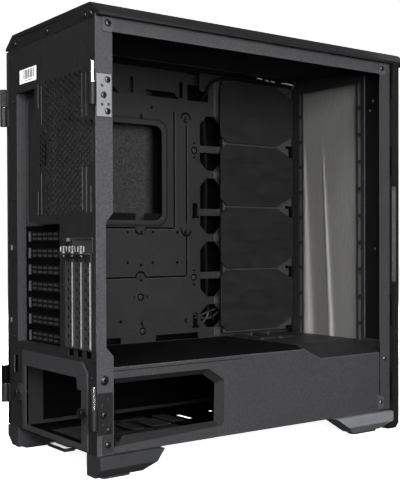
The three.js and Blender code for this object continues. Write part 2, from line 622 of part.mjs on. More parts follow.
function makeTopCover() {
  const outer = prism('y', coverProfile(0), FRONT_Y, REAR_Y);
  const inner = prism('y', coverProfile(WALL), FRONT_Y + WALL, REAR_Y - WALL);
  const underside = box(
    -HALF_W + WALL, HALF_W - WALL, FRONT_Y + WALL, REAR_Y - WALL, COVER_EDGE_Z - PAST, COVER_EDGE_Z + PAST);
  const rearEdge = SKIN - SHEET - 2 * GAP;
  const rearStrip = box(
    -rearEdge, rearEdge, REAR_Y - WALL, REAR_Y, PANEL_TOP_Z + GAP, COVER_EDGE_Z + PAST);
  const throughZ = [HEIGHT - WALL - PAST, HEIGHT + PAST];
  const cutters = [box(
    -GRILLE.halfWidth - GAP, GRILLE.halfWidth + GAP, GRILLE.front - GAP, GRILLE.back + GAP, ...throughZ)];
  for (const button of Object.values(BUTTONS)) {
    cutters.push(bar('z', button.x, button.y, 0, button.radius + GAP, ...throughZ, 24));
  }
  for (const socket of SOCKETS) {
    const y = BUTTONS.power.y;
    cutters.push(box(
      socket.x - socket.halfX, socket.x + socket.halfX, y - socket.halfY, y + socket.halfY, ...throughZ));
  }
  cutters.push(bar('z', JACK.x, BUTTONS.power.y, 0, JACK.radius, ...throughZ, 16));
  return cut(join(cut(outer, inner, underside), rearStrip), ...cutters);
}

function makeTopGrille() {
  const { halfWidth, front, back } = GRILLE;
  const plate = box(-halfWidth, halfWidth, front, back, HEIGHT - WALL, HEIGHT - GAP);
  const skirt = box(-halfWidth, halfWidth, front, back, HEIGHT - 6, HEIGHT - WALL + 0.1);
  const hollow = box(
    -halfWidth + 2, halfWidth - 2, front + 2, back - 2, HEIGHT - 7, HEIGHT - WALL);
  return join(plate, cut(skirt, hollow));
}

const GRIP = { bottom: 205, top: 335, depth: 4.2 };
const FRONT_PANEL_BOTTOM = 20;
const FRONT_PANEL_TOP = COVER_EDGE_Z - GAP;
const LATCH_SLOTS = [[454, 496], [349, 390], [145, 186], [40, 80]];

function frontProfile(inset, back) {
  const edge = HALF_W - inset;
  const flat = HALF_W - CHAMFER - inset * 0.4;
  const shoulder = FRONT_Y + CHAMFER + inset * 0.4;
  return [
    [edge, back], [-edge, back], [-edge, shoulder], [-flat, FRONT_Y + inset], [flat, FRONT_Y + inset],
    [edge, shoulder],
  ];
}

// The panel's lower corner in front of a foot, sloping back under the case.
function frontChin(side) {
  const outline = [
    [-238.5, FRONT_PANEL_BOTTOM + 2], [-238.5, 20], [-223, 4], [-207.2, 4], [-219.7, 14],
    [-219.7, FRONT_PANEL_BOTTOM + 2],
  ];
  const low = side < 0 ? -HALF_W : 88;
  return prism('x', outline, low, low + HALF_W - 88).intersect(
    prism('z', frontProfile(0, -200), 0, FRONT_PANEL_BOTTOM + 3));
}

function makeFrontPanel() {
  const back = FRONT_FRAME_Y - GAP;
  const wall = 3;
  const outer = prism('z', frontProfile(0, back), FRONT_PANEL_BOTTOM, FRONT_PANEL_TOP);
  const inner = prism(
    'z', frontProfile(wall, back - wall), FRONT_PANEL_BOTTOM + wall, FRONT_PANEL_TOP - wall);
  const mouth = box(-104, 104, back - wall - PAST, back + PAST, FRONT_PANEL_BOTTOM + 14, FRONT_PANEL_TOP - 10);
  const cutters = [inner, mouth];
  for (const side of [-1, 1]) {
    const edge = side * (HALF_W + 0.5);
    const grip = [[edge, back - GRIP.depth], [edge - side * (GRIP.depth + 1), back + 1], [edge, back + 1]];
    cutters.push(prism('z', side < 0 ? grip : grip.reverse(), GRIP.bottom, GRIP.top));
    for (const [bottom, top] of LATCH_SLOTS) {
      const x = side * (SKIN + 1.5);
      cutters.push(box(x - 2, x + 2, back - wall - PAST, back + PAST, bottom, top));
    }
  }
  return join(cut(outer, ...cutters), frontChin(-1), frontChin(1));
}

// ---------------------------------------------------------------- hinges and the closed side door
const HINGE_AXIS = { x: 115.2, y: REAR_Y + 5.5 };
const KNUCKLE_RADIUS = 4.5;
const PIN_RADIUS = 2.6;
const LEAF_THICKNESS = 1.2;
const LEAF_X = SKIN + GAP;
const HINGES = {
  upper: { bottom: 406.5, split: 430.5, top: 453, leafBottom: 395, leafTop: 441 },
  lower: { bottom: 57.5, split: 80.5, top: 104, leafBottom: 50.5, leafTop: 96 },
};

function knuckle(side, bottom, top) {
  const x = side * HINGE_AXIS.x;
  const barrel = bar('z', x, HINGE_AXIS.y, 0, KNUCKLE_RADIUS, bottom, top, 20);
  return { barrel, bore: bar('z', x, HINGE_AXIS.y, 0, PIN_RADIUS + GAP, bottom - PAST, top + PAST, 16) };
}

function makeHingeLeaf(side, hinge) {
  const near = side * LEAF_X;
  const far = side * (LEAF_X + LEAF_THICKNESS);
  const limits = [Math.min(near, far), Math.max(near, far)];
  const { barrel, bore } = knuckle(side, hinge.bottom, hinge.split - GAP);
  const leaf = box(...limits, POST_Y + 2, REAR_Y - 0.5, hinge.leafBottom, hinge.leafTop);
  const neck = box(...limits, REAR_Y - PAST, HINGE_AXIS.y, hinge.bottom, hinge.split - GAP);
  return cut(join(leaf, neck, barrel), bore);
}

function makeHingePin(side, hinge) {
  return bar('z', side * HINGE_AXIS.x, HINGE_AXIS.y, 0, PIN_RADIUS, hinge.bottom, hinge.top, 16);
}

function makeRightDoor() {
  const inner = SKIN + 0.5;
  const front = FRONT_FRAME_Y + GAP;
  const back = REAR_Y - 0.8;
  const slab = box(inner, HALF_W, front, back, FLOOR_Z + 0.5, PANEL_TOP_Z + 0.4);
  const pocket = box(inner - PAST, inner + 4, front + 14, back - 26, FLOOR_Z + 14, PANEL_TOP_Z - 14);
  const parts = [slab];
  const cutters = [pocket];
  for (const hinge of Object.values(HINGES)) {
    const { barrel, bore } = knuckle(1, hinge.split + GAP, hinge.top);
    const arm = box(114.2, 117.6, back - PAST, HINGE_AXIS.y, hinge.split + GAP, hinge.top);
    parts.push(barrel, arm);
    cutters.push(bore);
    cutters.push(box(
      inner - PAST, SKIN + 2, POST_Y, REAR_Y, hinge.leafBottom - PAST, hinge.leafTop + PAST));
  }
  return cut(join(...parts), ...cutters);
}

// ---------------------------------------------------------------- feet
const FOOT_TOP = FLOOR_Z - GAP;
const PAD_HEIGHT = 2.7;
const FOOT_BOTTOM = PAD_HEIGHT + GAP;
const FEET = {
  rear: [[REAR_Y, FOOT_BOTTOM], [REAR_Y, FOOT_TOP], [156, FOOT_TOP], [166, 14], [178, FOOT_BOTTOM]],
  front: [[-112, FOOT_TOP], [-134, 14], [-152, FOOT_BOTTOM], [-205, FOOT_BOTTOM], [-219, 14], [-219, FOOT_TOP]],
};

// Mirrors an outline's first coordinate when it belongs to the window side.
function sided(side, outline) {
  return outline.map(([u, v]) => [side * u, v]);
}

function makeFoot(side, outline) {
  const section = [[88, FOOT_TOP], [120, FOOT_TOP], [120, 14], [107, FOOT_BOTTOM], [88, FOOT_BOTTOM]];
  return prism('y', sided(side, section), FRONT_Y, REAR_Y).intersect(prism('x', outline, -HALF_W, HALF_W));
}

function makePad(side, front, back) {
  const outline = octagon(90, 105, front, back, 3, 3);
  return prism('z', sided(side, outline), 0, PAD_HEIGHT);
}

// ---------------------------------------------------------------- front sockets, buttons and their cable
const BOARD_Z = 507;

function makeFrontBoard() {
  const y = BUTTONS.power.y;
  const top = HEIGHT - WALL - GAP;
  const board = box(10, 97, y - 12, y + 8, BOARD_Z, BOARD_Z + 1.6);
  const posts = [17, 60].map((x) => bar('z', x, y - 8, 0, 2.5, ROOF_Z + GAP, BOARD_Z + 0.5, 10));
  const sockets = SOCKETS.map(({ x, halfX, halfY }) => {
    const can = box(x - halfX - 0.8, x + halfX + 0.8, y - halfY - 0.8, y + halfY + 0.8, BOARD_Z + 1, top);
    const mouth = box(x - halfX + 0.4, x + halfX - 0.4, y - halfY + 0.4, y + halfY - 0.4, top - 6, top + PAST);
    return cut(can, mouth);
  });
  const jack = cut(
    bar('z', JACK.x, y, 0, JACK.radius + 1.2, BOARD_Z + 1, top, 16),
    bar('z', JACK.x, y, 0, 1.8, top - 6, top + PAST, 12));
  return join(board, ...posts, ...sockets, jack);
}

// A push button standing in its hole, with a collar under the cover.
function makeButton(button) {
  const collarTop = HEIGHT - WALL - GAP;
  const cap = bar('z', 0, 0, 0, button.radius, collarTop - 1, HEIGHT - 0.2, 24);
  const collar = bar('z', 0, 0, 0, button.radius + 1.4, collarTop - 2.2, collarTop, 24);
  const stem = bar('z', 0, 0, 0, 1.8, BOARD_Z + 3.6, collarTop - 1, 10);
  return join(cap, collar, stem);
}

const CABLE_RADIUS = 2.4;
const CABLE_ROUTE = [
  [70, -211.2, 508.5], [71, -205, 507.8], [73, -200.5, 504], [74.5, -196, 499.5], [75.5, -180, 498.2],
  [76, -150, 498], [76, -115, 498.2], [76.5, -82, 497.8], [77, -64, 493.5], [79, -53, 484], [84, -49.5, 472],
  [91, -49.5, 466.5], [97, -51, 457], [98.5, -56, 435], [98.5, -60, 360], [98, -58, 280], [98, -60, 210],
  [98, -62, 165], [97, -72, 146],
];
const CABLE_STEPS = 60;

function makeCable() {
  const route = new THREE.CatmullRomCurve3(CABLE_ROUTE.map((point) => new THREE.Vector3(...point)));
  const section = new THREE.Shape();
  section.absarc(0, 0, CABLE_RADIUS, 0, 2 * Math.PI);
  return toSolid(new THREE.ExtrudeGeometry(section, {
    steps: CABLE_STEPS, curveSegments: 4, extrudePath: route, bevelEnabled: false,
  }));
}

// ---------------------------------------------------------------- drives
const CAGE = { left: -70, right: 60, front: -195, back: -95, bottom: 30, top: 104 };
const DRIVE_TRAY_Z = [36, 68];

function makeDriveCage() {
  const shellBox = box(CAGE.left, CAGE.right, CAGE.front, CAGE.back, CAGE.bottom, CAGE.top);
  const hollow = box(
    CAGE.left - PAST, CAGE.right + PAST, CAGE.front + SHEET, CAGE.back - SHEET,
    CAGE.bottom + SHEET, CAGE.top - SHEET);
  const runners = DRIVE_TRAY_Z.flatMap((z) => [
    box(CAGE.left, CAGE.right, CAGE.front + SHEET / 2, CAGE.front + 4, z - 2.4, z - GAP),
    box(CAGE.left, CAGE.right, CAGE.back - 4, CAGE.back - SHEET / 2, z - 2.4, z - GAP),
  ]);
  return join(cut(shellBox, hollow), ...runners);
}

function makeDriveTray() {
  const front = CAGE.front + SHEET + GAP;
  const back = CAGE.back - SHEET - GAP;
  const body = box(CAGE.left + 2, CAGE.right + 6, front, back, 0, 24);
  const bed = box(CAGE.left, CAGE.right + 2, front + 2.5, back - 2.5, 3, 25);
  const handle = box(CAGE.right + 5, CAGE.right + 10, front + 30, back - 30, 4, 20);
  return join(cut(body, bed), handle);
}

function makeDriveBracket() {
  const back = TRAY_X + SHEET + GAP;
  const face = back + 6;
  const plate = box(face, face + SHEET, 12, 165, 206, 300);
  const hook = box(back, face + SHEET, 100, 160, 272, 273.2);
  const rest = box(back, face + SHEET, 20, 160, 206, 207.2);
  const notch = box(face - PAST, face + SHEET + PAST, 47, 61, 288, 300 + PAST);
  return cut(join(plate, hook, rest), notch);
}

// ---------------------------------------------------------------- assembly
addPart(chassis, 'rear_panel', makeRearPanel(), paintedSteel);
addPart(chassis, 'roof_panel', makeRoofPanel(), paintedSteel);
addPart(chassis, 'floor_panel', makeFloorPanel(), paintedSteel);
addPart(chassis, 'board_tray', makeTray(), paintedSteel);
addPart(chassis, 'front_fan_panel', makeFrontFanPanel(), paintedSteel);
addPart(chassis, 'supply_shroud', makeShroud(), paintedSteel);
addPart(chassis, 'shroud_front_cover', makeShroudFrontCover(), blackPlastic);
addPart(chassis, 'supply_bracket', makeSupplyBracket(), paintedSteel);
for (const screw of SUPPLY_SCREWS) {
  addPart(chassis, `supply_thumbscrew_${screw.name}`, makeSupplyScrew(), paintedSteel, [screw.x, 0, screw.z]);
}
for (let index = 0; index < SLOT_COUNT; index += 1) {
  addPart(chassis, `slot_cover_${index + 1}`, makeSlotCover(), paintedSteel, [0, 0, slotZ(index)]);
}
for (let index = 0; index < UPRIGHT_SLOT_COUNT; index += 1) {
  const x = uprightX(index);
  addPart(chassis, `upright_slot_cover_${index + 1}`, makeUprightCover(), paintedSteel, [x, 0, 0]);
  addPart(
    chassis, `upright_slot_screw_${index + 1}`, makeUprightScrew(), barePlate, [x + UPRIGHT_SCREW_OFFSET, 0, 0]);
}
addPart(chassis, 'slot_retainer', makeSlotRetainer(), paintedSteel);
addPart(chassis, 'cable_cover_frame', makeCableCoverFrame(), paintedSteel);
for (let index = 0; index < CABLE_COVER_COUNT; index += 1) {
  const z = CABLE_COVER_BOTTOM + CABLE_COVER.pitch * index;
  addPart(chassis, `cable_cover_${index + 1}`, makeCableCover(), blackPlastic, [0, 0, z]);
}
addPart(chassis, 'front_filter', makeFrontFilter(), filterCloth);
addPart(chassis, 'top_filter', makeTopFilter(), filterCloth);
addPart(chassis, 'bottom_filter', makeBottomFilter(), blackPlastic);
addPart(shell, 'top_cover', makeTopCover(), blackPlastic);
addPart(shell, 'top_grille', makeTopGrille(), blackPlastic);
addPart(shell, 'front_panel', makeFrontPanel(), blackPlastic);
addPart(shell, 'right_door', makeRightDoor(), paintedSteel);
for (const [sideName, side] of [['left', -1], ['right', 1]]) {
  for (const [level, hinge] of Object.entries(HINGES)) {
    const bare = side < 0 && level === 'upper';
    addPart(chassis, `${sideName}_${level}_hinge_leaf`, makeHingeLeaf(side, hinge), bare ? barePlate : paintedSteel);
    addPart(chassis, `${sideName}_${level}_hinge_pin`, makeHingePin(side, hinge), barePlate);
  }
  addPart(shell, `rear_${sideName}_foot`, makeFoot(side, FEET.rear), blackPlastic);
  addPart(shell, `front_${sideName}_foot`, makeFoot(side, FEET.front), blackPlastic);
  addPart(shell, `rear_${sideName}_pad`, makePad(side, 192, 228), rubber);
  addPart(shell, `front_${sideName}_pad`, makePad(side, -202, -157), rubber);
}
for (const [name, button] of Object.entries(BUTTONS)) {
  addPart(shell, `${name}_button`, makeButton(button), blackPlastic, [button.x, button.y, 0]);
}
addPart(shell, 'front_socket_board', makeFrontBoard(), boardGreen);
addPart(chassis, 'front_socket_cable', makeCable(), cableSleeve);
addPart(chassis, 'drive_cage', makeDriveCage(), paintedSteel);
DRIVE_TRAY_Z.forEach((z, index) => {
  addPart(chassis, `drive_tray_${index + 1}`, makeDriveTray(), blackPlastic, [0, 0, z]);
});
addPart(chassis, 'drive_bracket', makeDriveBracket(), paintedSteel);

export default tower;
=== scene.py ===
import math

import bmesh
import bpy
from mathutils import Matrix, Vector


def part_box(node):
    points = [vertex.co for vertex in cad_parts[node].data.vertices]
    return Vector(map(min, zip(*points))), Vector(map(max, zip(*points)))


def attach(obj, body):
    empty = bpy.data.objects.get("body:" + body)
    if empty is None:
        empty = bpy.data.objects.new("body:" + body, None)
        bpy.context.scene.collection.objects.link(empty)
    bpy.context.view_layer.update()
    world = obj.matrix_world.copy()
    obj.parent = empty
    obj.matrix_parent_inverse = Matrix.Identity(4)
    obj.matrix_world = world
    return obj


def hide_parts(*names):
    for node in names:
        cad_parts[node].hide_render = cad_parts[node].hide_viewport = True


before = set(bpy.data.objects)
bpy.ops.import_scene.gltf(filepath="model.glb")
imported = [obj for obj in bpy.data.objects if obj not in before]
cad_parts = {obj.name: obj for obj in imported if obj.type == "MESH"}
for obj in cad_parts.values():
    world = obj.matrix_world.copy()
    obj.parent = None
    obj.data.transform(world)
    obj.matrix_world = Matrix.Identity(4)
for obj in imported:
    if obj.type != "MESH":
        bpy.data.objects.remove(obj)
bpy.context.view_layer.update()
MM = 0.001
WIDTH_PX = 400


def face(node, end, axis):
    """One limit of a CAD piece's box in millimetres: end 0 is the low one, axis 0 is x."""
    return round(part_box(node)[end][axis] / MM, 3)


# The planes that details stand on come from the frame. Their places on a plane are typed measurements.
GAP = 0.3  # clearance between touching CAD pieces
SIDE_X = face("rear_panel", 0, 0)  # near side's skin
REAR_Y = face("rear_panel", 1, 1)
TRAY_X = face("cable_cover_frame", 1, 0) + GAP
FAN_PLATE_Y = face("front_fan_panel", 0, 1) + 8
SHROUD_Z = face("supply_shroud", 1, 2)

# ---- camera
CAMERA_AT = (-978.3, 722.8, 257.0)  # millimetres
YAW, PITCH, ROLL = math.radians(-36.947), math.radians(-0.760), math.radians(-0.165)
FOCAL_PX = 914.3


def add_camera():
    forward = Vector((math.cos(PITCH) * math.cos(YAW), math.cos(PITCH) * math.sin(YAW), math.sin(PITCH)))
    level = forward.cross(Vector((0, 0, 1))).normalized()
    upright = level.cross(forward)
    right = math.cos(ROLL) * level + math.sin(ROLL) * upright
    up = math.cos(ROLL) * upright - math.sin(ROLL) * level
    data = bpy.data.cameras.new("camera")
    data.sensor_fit = "HORIZONTAL"
    data.sensor_width = 36
    data.lens = 36 * FOCAL_PX / WIDTH_PX
    data.shift_x = -0.0522
    data.shift_y = 0.0381
    data.clip_end = 50
    camera = bpy.data.objects.new("camera", data)
    turn = Matrix((right, up, -forward)).transposed().to_4x4()
    camera.matrix_world = Matrix.Translation(Vector(CAMERA_AT) * MM) @ turn
    bpy.context.scene.collection.objects.link(camera)
    bpy.context.scene.camera = camera


add_camera()


# ---- materials
class Nodes:
    """A small builder for one material's node tree."""

    def __init__(self, name):
        self.material = bpy.data.materials.new(name)
        self.material.use_nodes = True
        self.tree = self.material.node_tree
        self.shader = self.tree.nodes["Principled BSDF"]
        self.coords = self.node("TexCoord").outputs["Object"]

    def link(self, source, target):
        self.tree.links.new(source, target)

    def node(self, kind, values=()):
        """A new node of a kind, with values for its input sockets by name."""
        node = self.tree.nodes.new("ShaderNode" + kind)
        for socket, value in dict(values).items():
            node.inputs[socket].default_value = value
        return node

    def split(self):
        """The object's own x, y and z, in metres."""
        node = self.node("SeparateXYZ")
        self.link(self.coords, node.inputs["Vector"])
        return node.outputs["X"], node.outputs["Y"], node.outputs["Z"]

    def noise(self, scale, detail=3.0, stretch=(1, 1, 1), rough=0.5):
        mapping = self.node("Mapping", {"Scale": stretch})
        self.link(self.coords, mapping.inputs["Vector"])
        node = self.node("TexNoise", {"Scale": scale, "Detail": detail, "Roughness": rough})
        self.link(mapping.outputs["Vector"], node.inputs["Vector"])
        return node.outputs["Fac"]

    def wave(self, scale, direction, distortion=0.0):
        node = self.node("TexWave", {"Scale": scale, "Distortion": distortion, "Detail Scale": 2.0})
        node.bands_direction = direction
        self.link(self.coords, node.inputs["Vector"])
        return node.outputs["Fac"]

    def ramp(self, source, stops):
        node = self.node("ValToRGB")
        ramp = node.color_ramp
        while len(ramp.elements) < len(stops):
            ramp.elements.new(0.5)
        for element, (place, color) in zip(ramp.elements, stops):
            element.position = place
            element.color = (*color, 1) if len(color) == 3 else color
        self.link(source, node.inputs["Fac"])
        return node.outputs["Color"]

    def map_range(self, source, low, high, new_low, new_high):
        limits = {"From Min": low, "From Max": high, "To Min": new_low, "To Max": new_high}
        node = self.node("MapRange", limits)
        self.link(source, node.inputs["Value"])
        return node.outputs["Result"]

    def math(self, operation, a, b):
        node = self.node("Math")
        node.operation = operation
        for socket, value in zip(node.inputs, (a, b)):
            if isinstance(value, (int, float)):
                socket.default_value = value
            else:
                self.link(value, socket)
        return node.outputs["Value"]

    def mix(self, factor, a, b, mode="MIX"):
        node = self.node("Mix")
        node.data_type = "RGBA"
        node.blend_type = mode
        for socket, value in ((node.inputs["Factor"], factor), (node.inputs["A"], a), (node.inputs["B"], b)):
            if hasattr(value, "links"):
                self.link(value, socket)
            elif isinstance(value, (int, float)):
                socket.default_value = value
            else:
                socket.default_value = (*value, 1)
        return node.outputs["Result"]

    def bump(self, height, strength, distance):
        node = self.node("Bump", {"Strength": strength, "Distance": distance})
        self.link(height, node.inputs["Height"])
        self.link(node.outputs["Normal"], self.shader.inputs["Normal"])

    def set(self, socket, value):
        self.shader.inputs[socket].default_value = value

    def color(self, source):
        self.link(source, self.shader.inputs["Base Color"])

    def rough(self, source):
        self.link(source, self.shader.inputs["Roughness"])


def shade(color, factor):
    return tuple(channel * factor for channel in color)


def powder_coat(name, color, low, high, grain=1500, gloss=0.22):
    """Painted steel: orange-peel grain, faint cloudy tone and uneven gloss."""
    n = Nodes(name)
    cloudy = n.noise(14, 4)
    speckle = n.noise(grain, 2)
    peel = n.mix(n.map_range(n.noise(520, 1), 0.32, 0.68, 0, 1), (0.62,) * 3, (1.42,) * 3)
    tone = n.mix(1.0, n.ramp(cloudy, [(0.3, shade(color, 0.9)), (0.7, shade(color, 1.1))]), peel, "MULTIPLY")
    n.color(n.mix(n.map_range(speckle, 0.42, 0.72, 0, 0.7), tone, shade(color, 2.2)))
    n.rough(n.map_range(n.noise(60, 5), 0.3, 0.7, low, high))
    n.bump(speckle, 0.35, 0.00012)
    n.set("Specular IOR Level", gloss)
    return n.material


def door_coat(name, color):
    """The door's inner paint. Shade is painted in outside one rectangle, which suits the closed door only."""
    n = Nodes(name)
    _, y, z = n.split()
    lit = n.math("MULTIPLY", n.map_range(y, 0.019, 0.033, 0, 1), n.map_range(z, 0.12, 0.15, 0, 1))
    grain = n.mix(n.map_range(n.noise(520, 1), 0.32, 0.68, 0, 1), shade(color, 0.62), shade(color, 1.42))
    n.color(n.mix(lit, shade(color, 0.04), grain))
    n.rough(n.map_range(n.noise(60, 5), 0.3, 0.7, 0.6, 0.75))
    n.bump(n.noise(1500, 2), 0.35, 0.00012)
    n.set("IOR", 1.1)
    return n.material


def matte(name, color):
    """Paint inside the case with almost no gloss. Its darkness stands in for shade."""
    n = Nodes(name)
    cloudy, speckle = n.noise(14, 4), n.noise(1500, 2)
    n.color(n.mix(n.map_range(cloudy, 0.3, 0.7, 0, 0.6), color, shade(color, 0.6)))
    n.rough(n.map_range(speckle, 0.3, 0.7, 0.7, 0.85))
    n.bump(speckle, 0.3, 0.0001)
    n.set("IOR", 1.04)
    return n.material


def moulded(name, color, low, high):
    """Moulded plastic: very fine spark grain, slight handling marks."""
    n = Nodes(name)
    grain = n.noise(2600, 1)
    marks = n.noise(35, 6, (1, 1, 3), 0.65)
    tone = n.ramp(marks, [(0.35, shade(color, 0.88)), (0.75, shade(color, 1.2))])
    n.color(tone)
    n.rough(n.map_range(marks, 0.3, 0.75, low, high))
    n.bump(grain, 0.22, 0.00008)
    n.set("Specular IOR Level", 0.25)
    return n.material


def plated(name, color, low, high, stretch):
    """Bare or plated metal, brushed along one axis."""
    n = Nodes(name)
    brushed = n.noise(420, 4, stretch)
    stains = n.noise(30, 4)
    n.color(n.mix(n.map_range(stains, 0.35, 0.7, 0, 0.35), color, shade(color, 0.7)))
    n.rough(n.map_range(brushed, 0.3, 0.7, low, high))
    n.bump(brushed, 0.15, 0.00005)
    n.set("Metallic", 1.0)
    return n.material


def rubbery(name, color):
    n = Nodes(name)
    dust = n.noise(90, 5)
    n.color(n.mix(n.map_range(dust, 0.45, 0.8, 0, 0.4), color, shade(color, 2.2)))
    n.rough(n.map_range(dust, 0.3, 0.7, 0.75, 0.92))
    n.bump(n.noise(700, 3), 0.3, 0.0001)
    return n.material


def mesh_cloth(name, color, across, along, scale=520):
    """Fine woven nylon: two crossing threads."""
    n = Nodes(name)
    warp = n.wave(scale, across)
    weft = n.wave(scale * 0.8, along)
    weave = n.math("MULTIPLY", warp, weft)
    slub = n.noise(240, 3, (9, 9, 0.35))
    base = n.ramp(slub, [(0.3, shade(color, 0.72)), (0.72, shade(color, 1.3))])
    n.color(n.mix(n.map_range(weave, 0, 1, 0.3, 0), base, shade(color, 0.45)))
    n.bump(weave, 0.5, 0.0002)
    n.set("Roughness", 0.85)
    n.set("IOR", 1.1)
    return n.material


def braided(name, color):
    n = Nodes(name)
    braid = n.math("MULTIPLY", n.wave(420, "DIAGONAL"), n.wave(500, "Z"))
    n.color(n.mix(n.map_range(braid, 0, 1, 0.6, 0), shade(color, 1.8), shade(color, 0.5)))
    n.bump(braid, 0.7, 0.0004)
    n.set("Roughness", 0.6)
    n.set("Specular IOR Level", 0.1)
    return n.material


def solder_mask(name, color):
    n = Nodes(name)
    traces = n.math("MULTIPLY", n.wave(160, "X", 3), n.wave(130, "Y", 3))
    n.color(n.mix(n.map_range(traces, 0.5, 0.6, 0, 1), color, shade(color, 1.8)))
    n.bump(traces, 0.3, 0.0001)
    n.set("Roughness", 0.4)
    return n.material


def paper(name, color):
    n = Nodes(name)
    n.color(n.ramp(n.noise(900, 3), [(0.3, shade(color, 0.92)), (0.7, color)]))
    n.bump(n.noise(1500, 2), 0.1, 0.00005)
    n.set("Roughness", 0.5)
    return n.material


def hinge_metal(name, bare, painted):
    """Bare plate with a black knuckle behind the rear face."""
    n = Nodes(name)
    behind = n.map_range(n.split()[1], 0.2383, 0.2386, 0, 1)
    stains = n.mix(n.map_range(n.noise(40, 4), 0.35, 0.7, 0, 0.4), bare, shade(bare, 0.75))
    n.color(n.mix(behind, stains, painted))
    n.rough(n.map_range(n.noise(300, 3, (1, 1, 6)), 0.3, 0.7, 0.34, 0.5))
    n.bump(n.noise(900, 2), 0.1, 0.00004)
    n.set("Specular IOR Level", 0.15)
    n.link(n.math("SUBTRACT", 1.0, behind), n.shader.inputs["Metallic"])
    return n.material


def filter_weave(name, color):
    """Woven nylon, paler in bands along the ridges where the sheet pulls tight, which is painted highlight, and
    with shade painted in at its hem, its foot and a middle strip.
    """
    n = Nodes(name)
    x, _, z = n.split()
    warp, weft = n.wave(260, "X"), n.wave(330, "Z")
    weave = n.math("MULTIPLY", warp, weft)
    slub = n.noise(150, 4, (3, 3, 0.5), 0.6)
    base = n.ramp(slub, [(0.3, shade(color, 0.88)), (0.72, shade(color, 1.12))])
    fall = n.map_range(z, 0.415, 0.110, 0.0, 1.0)
    # Paler bands along the taut ridges: painted highlight.
    tight = None
    bands = ((0.0577, 0.0485, 0.0015, 0.0115, 0.9), (0.0180, -0.0020, 0.0010, 0.0055, 1.0))
    for start, end, narrow, wide, gain in bands:
        middle = n.math("ADD", n.math("MULTIPLY", fall, end - start), start)
        half = n.math("ADD", n.math("MULTIPLY", fall, wide - narrow), narrow)
        offset = n.math("ABSOLUTE", n.math("SUBTRACT", x, middle), 0.0)
        band = n.map_range(n.math("DIVIDE", offset, half), 0.35, 1.25, gain, 0.0)
        band = n.math("MULTIPLY", band, n.map_range(fall, 0.0, 0.12, 0.0, 1.0))
        tight = band if tight is None else n.math("MAXIMUM", tight, band)
    # A darker strip between the bands: painted shade.
    between = n.math("MULTIPLY", n.map_range(x, 0.006, 0.014, 0, 1), n.map_range(x, 0.030, 0.040, 1, 0))
    shadowed = n.math("MULTIPLY", between, n.map_range(fall, 0.15, 0.8, 0.0, 0.55))
    # Darker at the hem and towards the foot: painted shade.
    hem = n.math("MAXIMUM", n.map_range(z, 0.4785, 0.4835, 0.0, 0.75), n.map_range(z, 0.40, 0.13, 0.0, 0.4))
    base = n.mix(hem, base, shade(color, 0.35))
    tone = n.mix(shadowed, base, shade(color, 0.45))
    tone = n.mix(tight, tone, shade(color, 2.6))
    n.color(n.mix(n.map_range(weave, 0, 1, 0.35, 0), tone, shade(color, 0.4)))
    n.bump(weave, 0.4, 0.0002)
    n.set("Roughness", 0.85)
    return n.material


PAINT = powder_coat("powder_coat", (0.019, 0.019, 0.0204), 0.46, 0.60)
# The outer posts' and rails' copy of the paint, paler than the rest: painted light and sheen.
LIT_RAIL_PAINT = powder_coat("rail_powder_coat_painted_sheen", (0.0262, 0.0262, 0.028), 0.42, 0.56)
# The board tray's copy of the paint, darker than the rest: painted shade.
SHADED_TRAY_PAINT = powder_coat("tray_powder_coat_painted_shade", (0.0070, 0.0069, 0.0067), 0.52, 0.66)
FRAME_PAINT = powder_coat("column_powder_coat", (0.0165, 0.0162, 0.0162), 0.5, 0.64)
# Paler copy of the paint for lit edges, folds and tabs: painted highlight.
HIGHLIGHT_PAINT = powder_coat("painted_edge_highlight", (0.034, 0.034, 0.036), 0.36, 0.5)
VENT_PAINT = powder_coat("vent_floor_paint", (0.0165, 0.0165, 0.0160), 0.5, 0.64)
TAB_PAINT = powder_coat("tab_powder_coat", (0.0125, 0.0125, 0.013), 0.4, 0.55)
STRAP_PAINT = powder_coat("strap_weave", (0.009, 0.009, 0.0096), 0.6, 0.75, 700)
# A much paler copy of the paint for bright folded edges: painted highlight.
BRIGHT_HIGHLIGHT_PAINT = powder_coat("bright_painted_edge_highlight", (0.13, 0.13, 0.135), 0.3, 0.42)
# The window rim's copy of the paint, darker than the shroud's: painted shade.
SHADED_RIM_PAINT = powder_coat("rim_powder_coat_painted_shade", (0.0068, 0.0068, 0.0072), 0.5, 0.64, gloss=0.12)
# Near-black paint on inner faces and parts deep in the case: painted shade.
INNER_PAINTED_SHADE = matte("inner_painted_shade", (0.005, 0.005, 0.0052))
# Near-black paint put where there is only shade: painted shade.
PAINTED_SHADE = matte("shaded_powder_coat", (0.0022, 0.0022, 0.0023))
DOOR_PAINT = door_coat("door_inner_paint", (0.022, 0.022, 0.0225))
ROOF_PAINT = matte("roof_inner_paint", (0.022, 0.022, 0.0225))
# The fan plate's inner copy of the paint, darker than its outer faces: painted shade.
SHADED_PLATE_PAINT = powder_coat("fan_plate_powder_coat_painted_shade", (0.0075, 0.0075, 0.0078), 0.5, 0.64)
# The rear face's copy of the paint, darker than the rest: painted shade.
SHADED_REAR_PAINT = powder_coat("rear_powder_coat_painted_shade", (0.0075, 0.0075, 0.008), 0.42, 0.58, 1200)
PLASTIC = moulded("moulded_plastic", (0.0075, 0.0075, 0.008), 0.42, 0.6)
SHELL_PLASTIC = moulded("shell_plastic", (0.0062, 0.0062, 0.0066), 0.4, 0.56)
FRONT_PLASTIC = moulded("front_plastic", (0.0036, 0.0036, 0.0039), 0.44, 0.6)
FOOT_PLASTIC = moulded("foot_plastic", (0.018, 0.0184, 0.0196), 0.42, 0.56)
